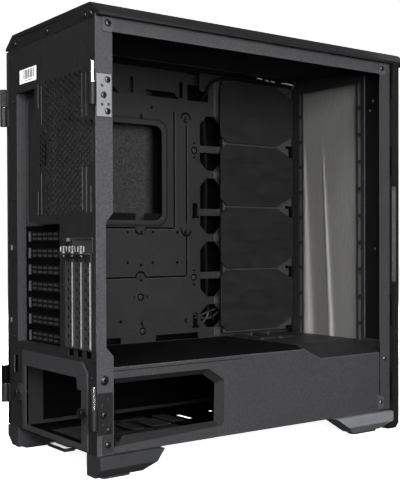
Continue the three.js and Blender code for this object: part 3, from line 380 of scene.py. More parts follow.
# The front feet's copy of the foot plastic, five times as pale: painted light.
LIT_FRONT_FOOT_PLASTIC = moulded("front_foot_plastic_painted_light", (0.098, 0.1, 0.106), 0.42, 0.56)
COVER_PLASTIC = moulded("cover_plastic", (0.0040, 0.0038, 0.0040), 0.46, 0.62)
HINGE_METAL = hinge_metal("hinge_plate", (0.36, 0.365, 0.38), (0.006, 0.006, 0.0065))
NICKEL = plated("nickel_pin", (0.82, 0.82, 0.83), 0.12, 0.24, (1, 1, 10))
SCREW = plated("black_screw", (0.085, 0.085, 0.09), 0.3, 0.45, (4, 4, 4))
BRIGHT_SCREW = plated("bright_screw", (0.24, 0.24, 0.25), 0.24, 0.42, (4, 4, 4))
THUMB_SCREW = plated("thumb_screw", (0.15, 0.15, 0.155), 0.34, 0.5, (4, 4, 4))
RUBBER = rubbery("foot_rubber", (0.010, 0.010, 0.010))
CLOTH = filter_weave("filter_cloth", (0.120, 0.118, 0.113))
FLAT_CLOTH = mesh_cloth("flat_filter_cloth", (0.02, 0.02, 0.02), "X", "Y", 700)
SLEEVE = braided("cable_sleeve", (0.0015, 0.0015, 0.0015))
ROOF_CLOTH = mesh_cloth("roof_filter_cloth", (0.034, 0.034, 0.035), "X", "Y", 300)
PULL_TAB = moulded("pull_tab", (0.62, 0.62, 0.63), 0.4, 0.5)
BRANCH = moulded("branch_jacket", (0.022, 0.022, 0.024), 0.3, 0.42)
WIRE = moulded("wire_jacket", (0.50, 0.46, 0.36), 0.35, 0.5)
BOARD = solder_mask("solder_mask", (0.012, 0.03, 0.018))
PAPER = paper("label_paper", (0.92, 0.92, 0.93))
INK = paper("label_ink", (0.045, 0.045, 0.06))


# ---- mesh helpers, in millimetres
def new_object(name, mesh, material):
    obj = bpy.data.objects.new(name, mesh)
    bpy.context.scene.collection.objects.link(obj)
    mesh.materials.clear()
    mesh.materials.append(material)
    return obj


def faces_mesh(name, parts):
    """One mesh from (vertices, faces) parts given in millimetres."""
    vertices, faces = [], []
    for part_vertices, part_faces in parts:
        start = len(vertices)
        vertices += [tuple(c * MM for c in v) for v in part_vertices]
        faces += [tuple(start + i for i in face) for face in part_faces]
    mesh = bpy.data.meshes.new(name)
    mesh.from_pydata(vertices, [], faces)
    bm = bmesh.new()
    bm.from_mesh(mesh)
    bmesh.ops.recalc_face_normals(bm, faces=bm.faces)
    bm.to_mesh(mesh)
    bm.free()
    return mesh


def make(name, parts, material):
    return new_object(name, faces_mesh(name, parts), material)


def box(x0, x1, y0, y1, z0, z1):
    vertices = [(x, y, z) for x in (x0, x1) for y in (y0, y1) for z in (z0, z1)]
    return vertices, [(0, 1, 3, 2), (4, 6, 7, 5), (0, 4, 5, 1), (2, 3, 7, 6), (0, 2, 6, 4), (1, 5, 7, 3)]


def place(axis, u, v, w):
    return {"x": (w, u, v), "y": (u, w, v), "z": (u, v, w)}[axis]


def prism(axis, outline, low, high):
    """A prism along an axis: the outline is (y, z) for x, (x, z) for y and (x, y) for z."""
    count = len(outline)
    vertices = [place(axis, u, v, w) for w in (low, high) for u, v in outline]
    sides = [(i, (i + 1) % count, count + (i + 1) % count, count + i) for i in range(count)]
    return vertices, sides + [tuple(range(count))[::-1], tuple(range(count, 2 * count))]


def ring_points(u, v, radius, sides, turn=0.0):
    step = 2 * math.pi / sides
    angles = [turn + i * step for i in range(sides)]
    return [(u + radius * math.cos(angle), v + radius * math.sin(angle)) for angle in angles]


def slot_points(u, v, half_u, half_v, sides=5):
    """An oval slot's outline, longer along u or v, whichever half is larger."""
    radius = min(half_u, half_v)
    reach_u, reach_v = half_u - radius, half_v - radius
    points = []
    for corner, (su, sv) in enumerate(((1, 1), (-1, 1), (-1, -1), (1, -1))):
        for i in range(sides):
            angle = (corner + i / (sides - 1)) * math.pi / 2
            point = (u + su * reach_u + radius * math.cos(angle), v + sv * reach_v + radius * math.sin(angle))
            if not points or math.dist(points[-1], point) > 0.01:
                points.append(point)
    if math.dist(points[0], points[-1]) < 0.01:
        points.pop()
    return points


def rod(axis, u, v, radius, low, high, sides=16):
    return prism(axis, ring_points(u, v, radius, sides), low, high)


def hexes(axis, low, high, u_range, v_range, pitch, radius, keep=lambda u, v: True):
    """Hexagonal holes on a staggered grid."""
    parts = []
    step = pitch * math.sqrt(3) / 2
    columns = int((u_range[1] - u_range[0]) / step)
    rows = int((v_range[1] - v_range[0]) / pitch)
    for i in range(columns + 1):
        for j in range(rows + 1):
            u = u_range[0] + i * step
            v = v_range[0] + (j + 0.5 * (i % 2)) * pitch
            if v <= v_range[1] and keep(u, v):
                parts.append(prism(axis, ring_points(u, v, radius, 6), low, high))
    return parts


def cut(obj, parts):
    """Takes the parts, which don't touch each other, out of obj for good."""
    cutter = make("cutter", parts, PAINT)
    modifier = obj.modifiers.new("cut", "BOOLEAN")
    modifier.operation = "DIFFERENCE"
    modifier.solver = "MANIFOLD"
    modifier.object = cutter
    bake(obj)
    bpy.data.objects.remove(cutter)


def bake(obj):
    graph = bpy.context.evaluated_depsgraph_get()
    graph.update()
    mesh = bpy.data.meshes.new_from_object(obj.evaluated_get(graph))
    obj.modifiers.clear()
    obj.data = mesh


def soften(obj, width, segments=2, angle=30):
    """Thin rounded edges, after joining the flat faces' triangles."""
    joined = obj.modifiers.new("joined", "WELD")
    joined.merge_threshold = 1e-5
    flat = obj.modifiers.new("flat", "DECIMATE")
    flat.decimate_type = "DISSOLVE"
    flat.angle_limit = math.radians(0.5)
    flat.delimit = {"NORMAL", "MATERIAL"}
    bevel = obj.modifiers.new("edge", "BEVEL")
    bevel.width = width * MM
    bevel.segments = segments
    bevel.limit_method = "ANGLE"
    bevel.angle_limit = math.radians(angle)
    return obj


def copy_node(node, name, material):
    """A copy of a CAD node with its split corners joined, ready for cutting."""
    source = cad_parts[node]
    mesh = source.data.copy()
    bm = bmesh.new()
    bm.from_mesh(mesh)
    bmesh.ops.remove_doubles(bm, verts=bm.verts, dist=2e-6)
    bm.to_mesh(mesh)
    bm.free()
    obj = new_object(name, mesh, material)
    obj.matrix_world = source.matrix_world
    return obj


def paint_side(obj, material, limit=110.7):
    """A second, paler material on the near posts and rails and on the far ones' outer faces; the other faces
    keep the first, darker one as painted shade.
    """
    obj.data.materials.append(material)
    for face in obj.data.polygons:
        if face.center.x < -limit * MM or (face.center.x > limit * MM and face.normal.x > 0.5):
            face.material_index = len(obj.data.materials) - 1


def paint_faces(obj, material, wanted):
    """A further material on the faces that wanted picks by centre, normal and area in millimetres."""
    obj.data.materials.append(material)
    for face in obj.data.polygons:
        if wanted(face.center / MM, face.normal, face.area / MM ** 2):
            face.material_index = len(obj.data.materials) - 1


def stand_for(obj, node, body="case"):
    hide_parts(node)
    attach(obj, body)
    return obj


def dress(node, name, material, holes=(), width=0.3, segments=1, body="case"):
    """A copy of a CAD node with holes and rounded edges, which stands for it."""
    obj = copy_node(node, name, material)
    if holes:
        cut(obj, holes)
    soften(obj, width, segments)
    return stand_for(obj, node, body)


def add_piece(name, parts, material, body="case"):
    obj = make(name, parts, material)
    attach(obj, body)
    return obj


def finish_node(node, material, width, segments=2):
    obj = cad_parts[node]
    obj.data.materials.clear()
    obj.data.materials.append(material)
    if width:
        soften(obj, width, segments)


# ---- screws
def cross(axis, u, v, size, low, high):
    arm = size * 0.33
    outline = [
        (u - arm, v - size), (u + arm, v - size), (u + arm, v - arm), (u + size, v - arm), (u + size, v + arm),
        (u + arm, v + arm), (u + arm, v + size), (u - arm, v + size), (u - arm, v + arm), (u - size, v + arm),
        (u - size, v - arm), (u - arm, v - arm),
    ]
    return prism(axis, outline, low, high)


def dome(axis, u, v, base, out, radius, height, sides=14):
    """A low domed screw head standing on the plane at base, towards out."""
    rings = [(1.0, 0.0), (1.0, 0.45), (0.86, 0.8), (0.55, 1.0)]
    vertices, faces = [], []
    for share, lift in rings:
        ring = ring_points(u, v, radius * share, sides)
        vertices += [place(axis, a, b, base + out * height * lift) for a, b in ring]
    for level in range(len(rings) - 1):
        for i in range(sides):
            j = (i + 1) % sides
            low, high = level * sides, (level + 1) * sides
            faces.append((low + i, low + j, high + j, high + i))
    faces.append(tuple(range(sides))[::-1])
    faces.append(tuple(range((len(rings) - 1) * sides, len(rings) * sides)))
    return vertices, faces


HEAD_HEIGHT = 0.36  # of a screw head's radius


def add_screws(name, axis, out, screws, material):
    """Cross-head screws with near-black rings under them as painted shade: each is (u, v, base, radius)."""
    heads = [dome(axis, u, v, base, out, radius, radius * HEAD_HEIGHT) for u, v, base, radius in screws]
    obj = make(name, heads, material)
    recesses = []
    for u, v, base, radius in screws:
        top = base + out * radius * HEAD_HEIGHT
        low, high = sorted((top - out * radius * 0.3, top + out * radius))
        recesses.append(cross(axis, u, v, radius * 0.6, low, high))
    cut(obj, recesses)
    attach(obj, "case")
    # Near-black rings round each head: painted shade.
    shade_rings = []
    for u, v, base, radius in screws:
        low, high = sorted((base - out * 0.3, base + out * 0.22))
        shade_rings.append(rod(axis, u, v, radius * 1.2, low, high, 18))
    add_piece(name + "_seats", shade_rings, PAINTED_SHADE)


# ---- rear panel
REAR_THROUGH = (REAR_Y - 3, REAR_Y + 2)


def in_fan_vent(x, z):
    left = -102 if 346 < z < 392 else -79.5
    return left < x < 7


def rear_panel():
    # The rear face's darker paint and the near side's paler one are painted shade and light on one paint.
    obj = copy_node("rear_panel", "rear_panel_sheet", SHADED_REAR_PAINT)
    holes = hexes("y", *REAR_THROUGH, (-101, 7), (294.5, 448), 6.9, 3.05, in_fan_vent)
    holes += hexes("y", *REAR_THROUGH, (10.5, 23), (351, 390), 6.9, 3.0)
    for x, z, radius in ((52, 451, 1.6), (30, 287, 1.4), (-19, 286, 1.4), (-35, 272, 1.2), (102, 33, 1.8),
                         (79, 33, 1.6), (62, 27, 1.4), (-98.4, 33, 1.8), (-38.5, 130.4, 1.6)):
        holes.append(rod("y", x, z, radius, *REAR_THROUGH, 10))
    for x, z in ((106.4, 253.5), (107.7, 161)):
        holes.append(prism("y", slot_points(x, z, 1.8, 4.6), *REAR_THROUGH))
    cut(obj, holes)
    # Paler slot edges and recess walls are painted highlight, the I/O recess floor is a paler copy as painted
    # light, and the near-black slot recess floor and far posts' inner faces are painted shade.
    paint_faces(obj, HIGHLIGHT_PAINT,
                lambda c, n, area: abs(n.x) > 0.9 and abs(c.x) < 108 and c.y > 236 and area > 6)
    paint_faces(obj, PAINTED_SHADE, lambda c, n, area: n.y > 0.9 and c.y < 237 and 136 < c.z < 281)
    paint_faces(obj, PAINT, lambda c, n, area: abs(n.x) > 0.9 and c.y < 236 and 60 < c.x < 100)
    paint_faces(obj, FRAME_PAINT, lambda c, n, area: n.y > 0.9 and c.y < 237 and c.z > 281)
    paint_faces(obj, PAINTED_SHADE, lambda c, n, area: n.x < -0.9 and c.x > 108)
    paint_side(obj, LIT_RAIL_PAINT)
    soften(obj, 0.3, 1)
    stand_for(obj, "rear_panel")


rear_panel()
# A paler strip on the near post's rear corner: painted highlight.
corner = box(SIDE_X - 0.5, SIDE_X + 0.7, REAR_Y - 0.7, REAR_Y + 0.35, 140, 505)
add_piece("post_corner_highlight", [corner], HIGHLIGHT_PAINT)
for z in (253.5, 161):
    clip_outline = slot_points(106.4 if z > 200 else 107.7, z, 1.3, 4.0)
    add_piece(f"door_catch_{int(z)}", [prism("y", clip_outline, 237.5, 239.6)], NICKEL)
rivets = [(-34.4, 210, 2.0), (-32.5, 147.6, 2.0), (77.8, 131, 2.2), (-106.7, 130, 2.2), (-99.8, 110.7, 2.2),
          (96, 436, 2.0), (96, 313, 2.0), (96, 238, 2.0), (97, 141, 2.0)]
top_screws = [(90.3, 506.6, 3.0), (2.7, 506.6, 3.0), (-89.5, 507, 3.0), (-101.9, 506.6, 3.0)]
for name, screws in (("rear_rivets", rivets), ("rear_top_screws", top_screws)):
    placed = [(x, z, REAR_Y, radius) for x, z, radius in screws]
    add_screws(name, "y", 1, placed, SCREW)


def label():
    """A small paper label with plain upright bars."""
    add_piece("rear_label", [box(32, 78, REAR_Y + 0.02, REAR_Y + 0.25, 455, 472)], PAPER)
    bars, x = [], 66.5
    for step, wide in enumerate((2, 1, 2, 2, 1, 2, 1, 2, 2, 1, 1, 2)):
        bars.append(box(x - 0.95 * wide, x, REAR_Y + 0.2, REAR_Y + 0.32, 459.8, 470.6))
        x -= 0.95 * wide + (0.8 if step % 3 else 1.5)
    for start, end in ((74, 71), (62, 56), (54, 44)):
        bars.append(box(end, start, REAR_Y + 0.2, REAR_Y + 0.32, 457.2, 458.2))
    add_piece("rear_label_bars", bars, INK)


label()


# ---- card slot covers
def slot_covers():
    for index in range(1, 8):
        node = f"slot_cover_{index}"
        low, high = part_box(node)
        middle = (low[2] + high[2]) / 2 / MM
        # The covers are in near-black paint as painted shade, and their tab edges are paler as painted
        # highlight.
        obj = copy_node(node, node + "_vented", INNER_PAINTED_SHADE)
        back = low[1] / MM
        vents = [(62 - 14.2 * column, middle + row * 2.75) for column in range(6) for row in (-1, 1)]
        cut(obj, [prism("y", slot_points(x, z, 6.6, 1.7, 4), 226, 230) for x, z in vents])
        paint_faces(obj, HIGHLIGHT_PAINT, lambda c, n, area: n.x < -0.9 and c.x > 70)
        soften(obj, 0.2, 1)
        stand_for(obj, node)
        floors = [prism("y", slot_points(x, z, 5.6, 1.35, 4), back + 0.1, back + 0.9) for x, z in vents]
        add_piece(node + "_vent_floors", floors, VENT_PAINT)


def upright_covers():
    for index in range(1, 4):
        node = f"upright_slot_cover_{index}"
        low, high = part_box(node)
        middle = (low[0] + high[0]) / 2 / MM
        obj = copy_node(node, node + "_vented", FRAME_PAINT)
        holes = []
        for row in range(9):
            z = 149 + 10.6 * row
            holes.append(prism("y", slot_points(middle - 3.6, z, 2.0, 2.4, 4), 239.8, 242))
            holes.append(prism("y", slot_points(middle + 2.6, z + 4.6, 2.0, 2.4, 4), 239.8, 242))
        cut(obj, holes)
        # Near-black faces behind the vents: painted shade.
        paint_faces(obj, PAINTED_SHADE, lambda c, n, area: 239.5 < c.y < 240.2 and n.y > 0.9)
        soften(obj, 0.2, 1)
        stand_for(obj, node)
        # A bright strip on each cover's folded edge and a paler one on its seam: painted highlight.
        paint = [prism("z", [(middle - 9.3, 240.7), (middle - 8.9, 240.7), (middle - 8.9, 242.3),
                             (middle - 9.3, 242.3)], 143, 237)]
        add_piece(f"upright_cover_edge_highlight_{index}", paint, BRIGHT_HIGHLIGHT_PAINT)
        seam = box(middle + 8.1, middle + 9.1, 240.3, 240.8, 143, 240)
        add_piece(f"upright_cover_seam_{index}", [seam], LIT_RAIL_PAINT)


def knurled_screws(prefix, axis, material):
    """The thumbscrews' heads with a toothed rim and a cross recess, on the CAD shanks."""
    for node in [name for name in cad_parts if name.startswith(prefix)]:
        low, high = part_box(node)
        low, high = [c / MM for c in low], [c / MM for c in high]
        pick = {"y": (0, 2, 1), "z": (0, 1, 2)}[axis]
        u, v = ((low[i] + high[i]) / 2 for i in pick[:2])
        radius = (high[pick[0]] - low[pick[0]]) / 2
        top, bottom = high[pick[2]], low[pick[2]]
        seat = top - (8 if axis == "z" else 6.5)
        teeth = []
        for i in range(48):
            share = 1.0 if i % 4 < 2 else 0.85
            angle = 2 * math.pi * i / 48
            teeth.append((u + radius * share * math.cos(angle), v + radius * share * math.sin(angle)))
        collar = rod(axis, u, v, radius * 0.8, seat, seat + 1.6, 24)
        cap = rod(axis, u, v, radius * 0.78, top - 0.9, top, 24)
        shank = rod(axis, u, v, 1.7, bottom, seat + 0.5, 12)
        middle = rod(axis, u, v, radius * 0.9, seat + 1.6, top - 0.7, 24)
        toothed = prism(axis, teeth, seat + 1.4, top - 0.6)
        head = make(node + "_head", [toothed], material)
        add = make(node + "_parts", [collar, shank], material)
        # Near-black fill between the teeth: painted shade in the knurl's roots.
        shade_core = make(node + "_core", [middle], PAINTED_SHADE)
        stand_for(shade_core, node, node)
        rim = make(node + "_rim", [cap], material)
        cut(rim, [cross(axis, u, v, radius * 0.5, top - 0.6, top + 2)])
        for piece in (head, add, rim):
            stand_for(piece, node, node)


slot_covers()
upright_covers()
clip = [(-48, 260.5), (-57, 260.5), (-57, 264.5), (-48, 264.5)]
arm = [(-52, 254), (-58, 258.5), (-66, 253.5), (-66, 251), (-58, 255.5), (-54, 251.5)]
parts = [prism("y", clip, REAR_Y + 1.3, REAR_Y + 7), prism("y", arm, REAR_Y + 1.3, REAR_Y + 4)]
add_piece("retainer_clip", parts, BRIGHT_SCREW)


# ---- board tray
def groove(points, width, low, high):
    """Straight channels that follow a line of (y, z) points, as cutters along x."""
    parts = []
    for (y0, z0), (y1, z1) in zip(points, points[1:]):
        length = math.dist((y0, z0), (y1, z1))
        ny, nz = (z1 - z0) / length * width / 2, -(y1 - y0) / length * width / 2
        outline = [(y0 + ny, z0 + nz), (y1 + ny, z1 + nz), (y1 - ny, z1 - nz), (y0 - ny, z0 - nz)]
        parts.append(prism("x", outline, low, high))
    return parts


def arch(y, z, radius, count=8):
    return [(y + radius * math.cos(math.pi * i / count), z + radius * math.sin(math.pi * i / count))
            for i in range(count + 1)]


def rounded(u0, u1, v0, v1, radius, steps=5):
    points = []
    for cu, cv, start in ((u1 - radius, v1 - radius, 0), (u0 + radius, v1 - radius, 1),
                          (u0 + radius, v0 + radius, 2), (u1 - radius, v0 + radius, 3)):
        for i in range(steps + 1):
            angle = (start + i / steps) * math.pi / 2
            points.append((cu + radius * math.cos(angle), cv + radius * math.sin(angle)))
    return points


def band(inner, outer, inner_base, outer_base):
    """A closed band between two loops of points and the loops behind them."""
    count = len(inner)
    faces = []
    for i in range(count):
        j = (i + 1) % count
        faces += [(i, j, count + j, count + i), (2 * count + i, 3 * count + i, 3 * count + j, 2 * count + j)]
        faces += [(count + i, count + j, 3 * count + j, 3 * count + i), (i, 2 * count + i, 2 * count + j, j)]
    return inner + outer + inner_base + outer_base, faces


def ridge_ring(inner, outer, x_inner, x_outer):
    """A sloping band, 1 mm thick, between two outlines with the same number of (y, z) points."""
    loops = [[(x, y, z) for y, z in loop] for loop, x in (
        (inner, x_inner), (outer, x_outer), (inner, x_inner + 1), (outer, x_outer + 1))]
    return band(*loops)


TRAY_THROUGH = (TRAY_X - 2, TRAY_X + 2.5)
GROOVE_WIDTH = 2.3
GROOVE_CUT = (TRAY_X - 0.7, TRAY_X + 1)
# Depth of the grooves' near-black floors, which are painted shade.
GROOVE_SHADE = (TRAY_X + 0.1, TRAY_X + 1.15)
TRAY_HOLES = (
    (55.7, 434.1), (39.3, 445.7), (-17.5, 434.2), (78.6, 273.5), (38.1, 274), (-2.8, 273.6),
    (-16.8, 273.8), (78.9, 231.8), (57.6, 228.5), (38.3, 231.5), (-2.3, 231.3), (57.6, 207.5),
    (90.2, 152.3), (56.6, 147.8), (-16.7, 147.6),
)
TRAY_STUDS = ((-32.1, 390.9), (-31, 209.5), (58.3, 184.6), (55.3, 137.7))
TRAY_GROOVES = (
    [(204, 279.5), (66.6, 279.5)], [(50, 279.5), (3.2, 279.5)], [(2.5, 281), (2.5, 443)],
    [(204, 211.7), (66.6, 211.7)], [(50, 211.7), (-17.6, 211.7)], [(-18.5, 213), (-18.5, 268)],
    [(-18.5, 286), (-18.5, 424)],
)
TRAY_ARCS = ((58.3, 211, 1), (58.3, 279, -1), (-18, 277, -1), (-17.5, 434.2, 1))  # y, z, up or down
TIE_HOLES_Z = (294, 137)


def tray_holes():
    holes = [rod("x", y, z, 2.1, *TRAY_THROUGH, 10) for y, z in TRAY_HOLES]
    holes += [rod("x", y, z, 5.2, *TRAY_THROUGH, 20) for y, z in TRAY_STUDS]
    flat = ((-32.1, 401), (-32.1, 380.6), (-31, 219.6), (-31, 199.5))
    holes += [prism("x", slot_points(y, z, 2.4, 1.1, 3), *TRAY_THROUGH) for y, z in flat]
    tall = ((68.5, 184.6), (48, 184.6))
    holes += [prism("x", slot_points(y, z, 1.1, 2.4, 3), *TRAY_THROUGH) for y, z in tall]
    holes += [box(*TRAY_THROUGH, -37.5, -29, z, z + 22) for z in TIE_HOLES_Z]
    narrow = ((11, 277), (66.3, 274.5), (-9, 279))
    return holes + [prism("x", slot_points(y, z, 1.0, 2.0, 3), *TRAY_THROUGH) for y, z in narrow]


def arc_bands(low, high):
    """The grooves' half rings round the screw places."""
    bands = []
    for y, z, up in TRAY_ARCS:
        outline = arch(y, z, 9.3) + arch(y, z, 6.9)[::-1]
        bands.append(prism("x", [(a, z + up * (b - z)) for a, b in outline], low, high))
    return bands


def tray_grooves(obj):
    """Pressed grooves with near-black floors as painted shade, and a paler bead along one edge as painted
    highlight.
    """
    channels = [part for run in TRAY_GROOVES for part in groove(run, GROOVE_WIDTH, *GROOVE_CUT)]
    for part in channels + arc_bands(*GROOVE_CUT):
        cut(obj, [part])
    beads, shades = [], arc_bands(*GROOVE_SHADE)
    # Near-black discs behind the stud holes: painted shade.
    shades += [rod("x", y, z, 5.3, TRAY_X + 0.9, TRAY_X + 1.4, 20) for y, z in TRAY_STUDS]
    for run in TRAY_GROOVES:
        level = run[0][1] == run[1][1]
        dy, dz = (0, -1.9) if level else (-1.9, 0)
        beads += groove([(y + dy, z + dz) for y, z in run], 1.0, TRAY_X - 0.4, TRAY_X + 0.2)
        shades += groove(run, GROOVE_WIDTH, *GROOVE_SHADE)
    add_piece("tray_highlight_beads", beads, PAINT)
    add_piece("tray_groove_shades", shades, PAINTED_SHADE)


def tray_raised_parts():
    rim = rounded(13.5, 190, 281, 431, 17)
    crest = rounded(17.5, 186, 285, 427, 14)
    inner = rounded(23, 179, 290, 421, 12)
    raised = [ridge_ring(rim, crest, TRAY_X, TRAY_X - 1.7),
              ridge_ring(crest, inner, TRAY_X - 1.7, TRAY_X - 1.3)]
    add_piece("cutout_rim", raised, SHADED_TRAY_PAINT)
    # Paler rings round the studs: painted highlight.
    rings = [ridge_ring(ring_points(y, z, 1.2, 16), ring_points(y, z, 2.9, 16), TRAY_X - 0.6, TRAY_X - 0.1)
             for y, z in TRAY_STUDS]
    add_piece("stud_ring_highlights", rings, PAINT)
    # Near-black hooks over the tie holes: painted shade.
    hooks = []
    for z in TIE_HOLES_Z:
        hooks.append(box(TRAY_X - 1.6, TRAY_X + 0.8, -35.5, -31.2, z + 3.4, z + 14))
        hooks.append(box(TRAY_X - 1.6, TRAY_X + 0.8, -39, -28, z + 0.5, z + 3.6))
    add_piece("tie_hooks", hooks, PAINTED_SHADE)


def cable_straps():
    outline = [(89.3, -85), (89.3, -79), (92.4, -76), (92.4, -45), (89.3, -42), (89.3, -36), (90.6, -36),
               (90.6, -41.4), (93.8, -44.6), (93.8, -76.4), (90.6, -79.6), (90.6, -85)]
    straps = [prism("z", outline, z, z + 10) for z in (389, 298, 207)]
    add_piece("cable_straps", straps, STRAP_PAINT)


def column_strips():
    strips, lines = [], []
    for low, high in ((442, 492), (353, 362), (262, 271.5), (171, 180.5), (124, 136)):
        strips.append(box(TRAY_X - 0.6, TRAY_X + 0.1, -77, -67, low, high))
        lines.append(box(TRAY_X - 0.9, TRAY_X + 0.1, -67.4, -66.3, low, high))
    add_piece("column_strips", strips, FRAME_PAINT)
    # Paler lines at the column's fold: painted highlight.
    add_piece("column_fold_highlight", lines, HIGHLIGHT_PAINT)


def board_tray():
    obj = copy_node("board_tray", "board_tray_sheet", SHADED_TRAY_PAINT)
    cut(obj, tray_holes())
    tray_grooves(obj)
    soften(obj, 0.25, 1)
    stand_for(obj, "board_tray")
    tray_raised_parts()
    cable_straps()
    column_strips()


board_tray()


# ---- hinges, posts and their screws
HINGE_THROUGH = (SIDE_X - 4, SIDE_X + 2)


def hinge_plates():
    for node, name, material, slot, holes in (
            ("left_upper_hinge_leaf", "left_upper_hinge_plate", HINGE_METAL, "bare_plate",
             ((231.6, 428.3, 1.8), (231.7, 407.9, 1.8), (223.7, 408.5, 1.8))),
            ("left_lower_hinge_leaf", "left_lower_hinge_plate", COVER_PLASTIC, "painted_steel",
             ((225.9, 89.2, 1.5), (232.8, 82.8, 1.5), (232.5, 61.6, 1.5), (224.6, 61.2, 1.3)))):
        cutters = [rod("x", y, z, radius, *HINGE_THROUGH, 12) for y, z, radius in holes]
        dress(node, name, material, cutters, 0.25, 1)
    plate = SIDE_X - 1.5
    add_screws("hinge_plate_screws", "x", -1, [
        (224.8, 435.2, plate, 3.0), (229.8, 418.2, plate, 3.0), (224.9, 400.9, plate, 3.0),
    ], SCREW)
    add_screws("lower_plate_screws", "x", -1, [
        (230.9, 72.3, plate, 3.0), (225.5, 55.3, plate, 2.4), (226.3, 39.0, SIDE_X - 1.6, 3.0),
    ], SCREW)


def post_fittings():
    # Three tabs take the paler highlight paint: painted highlight.
    for name, material, thick, outline in (
            ("lower_post_tab", TAB_PAINT, 1.6,
             [(232.5, 30), (232.5, 47.5), (230.5, 49.5), (219.5, 49.5), (219.5, 30)]),
            ("upper_post_tab", HIGHLIGHT_PAINT, 1.3,
             [(231, 487), (231, 502.3), (217, 502.3), (217, 490), (219.5, 487)]),
            ("front_post_tab", HIGHLIGHT_PAINT, 1.2,
             [(-206.5, 32), (-206.5, 48), (-198, 50), (-196, 48), (-196, 32)]),
            ("front_upper_tab", HIGHLIGHT_PAINT, 1.2,
             [(-209, 486), (-209, 502.3), (-197, 502.3), (-197, 489), (-200, 486)])):
        add_piece(name, [prism("x", outline, SIDE_X - thick, SIDE_X - 0.1)], material)
    add_screws("post_screws", "x", -1, [
        (223.8, 496.5, SIDE_X - 1.3, 3.2), (-203.5, 495.7, SIDE_X - 1.2, 3.0),
        (229.6, 109.6, SIDE_X - 0.2, 3.4),
    ], SCREW)
    bright = [(-209.5, 100, SIDE_X, 2.6), (-201.3, 41, SIDE_X - 1.2, 2.6)]
    add_screws("front_post_screws", "x", -1, bright, BRIGHT_SCREW)
    cup = [ring_points(229.6, 109.6, radius, 18) for radius in (3.6, 5.6)]
    add_piece("post_screw_cup", [ridge_ring(*cup, SIDE_X - 0.9, SIDE_X - 0.2)], COVER_PLASTIC)


hinge_plates()
post_fittings()


# ---- supply shroud and floor
def shroud():
    """The shroud and the floor's edge share one window, with a sloping rim round it."""
    inner = [(216.5, 104.4), (95.8, 104.4), (77.9, 92.2), (79.1, 47.3), (203.8, 46.3), (208.2, 40.2),
             (216.5, 40.2)]
    outer = [(216.5, 110.5), (89, 110.5), (66.8, 96), (66.8, 44.5), (72.3, 41.3), (209.3, 35.7),
             (216.5, 35.7)]
    # Inner faces in near-black paint as painted shade; the outer faces get the plain paint.
    obj = copy_node("supply_shroud", "supply_shroud_sheet", INNER_PAINTED_SHADE)
    window = [(217.9, 110.5), *outer[1:5], (217.9, 35.7)]
    cut(obj, [prism("x", window, SIDE_X - 2, SIDE_X + 1.6)])
    paint_side(obj, PAINT)
    soften(obj, 0.35, 2)
    stand_for(obj, "supply_shroud")
    # The rim's darker paint is painted shade.
    slope = [ridge_ring(inner, outer, SIDE_X + 4.5, SIDE_X)]
    rim = add_piece("window_rim", slope, SHADED_RIM_PAINT)
    soften(rim, 0.8, 2, 12)
    # A paler strip along the top edge: painted highlight.
    edge = [(218.5, 122.2), (27.4, 122.6), (-60.8, 122.2), (-90.3, 108), (-198, 108.4)]
    beads = groove(edge, 1.1, SIDE_X - 0.3, SIDE_X + 0.2)
    add_piece("shroud_edge_highlight", beads, HIGHLIGHT_PAINT)
    # Near-black seam lines: painted shade.
    seams = groove([(218.5, 118.6), (40, 118.8)], 0.7, SIDE_X - 0.12, SIDE_X + 0.1)
    seams += groove([(-199.6, 40), (-199.6, 122)], 1.2, SIDE_X - 0.12, SIDE_X + 0.1)
    add_piece("shroud_seams", seams, PAINTED_SHADE)


def floor_sheet():
    # Inner faces in near-black paint as painted shade; the outer faces get the plain paint.
    floor = copy_node("floor_panel", "floor_sheet", PAINTED_SHADE)
    window = [(217.9, 52), (67, 52), (67, 44.5), (72.3, 41.3), (209.3, 35.7), (217.9, 35.7)]
    cut(floor, [prism("x", window, SIDE_X - 2, SIDE_X + 3)])
    paint_side(floor, PAINT)
    soften(floor, 0.3, 1)
    stand_for(floor, "floor_panel")
    tiles = [box(x0, x1, y0, y1, 29.1, 30.4) for x0, x1, y0, y1 in (
        (-19, 23, 121, 137), (-15, 27, 78, 106), (-6, 42, 52, 70), (-60, -27, 121, 137), (-58, -24, 78, 106))]
    add_piece("floor_ribs", tiles, FRAME_PAINT)


def front_cover():
    dress("shroud_front_cover", "shroud_front_cover_sheet", PLASTIC, (), 0.5, 2)
    low, edge, high = SHROUD_Z - 0.4, SHROUD_Z + 2, SHROUD_Z + 3.6
    lips = []
    for opening, skirt in (((22, 74, -158, -134), (17, 79, -163, -131)),
                           ((22, 74, -126, -102), (17, 79, -129, -97))):
        inner, outer = rounded(*opening, 3), rounded(*skirt, 5)
        loops = ((inner, high), (outer, edge), (inner, low), (outer, low))
        lips.append(band(*[[(x, y, z) for x, y in loop] for loop, z in loops]))
    add_piece("cable_opening_lip", lips, PLASTIC)


shroud()
floor_sheet()
front_cover()


# ---- cable covers
def cable_hooks():
    # Near-black L shapes at the cover hooks: painted shade in their openings.
    hooks = []
    for index in range(4):
        z = 388.8 - 91 * index
        hooks.append(box(74.2, 79, -205.5, -195.5, z + 13.2, z + 16.8))
        hooks.append(box(74.2, 79, -205.5, -202, z, z + 13.4))
    add_piece("cover_hook_shades", hooks, PAINTED_SHADE)
    add_screws("cover_screw", "x", -1, [(-205, 137, 78.5, 2.6)], BRIGHT_SCREW)


cable_hooks()


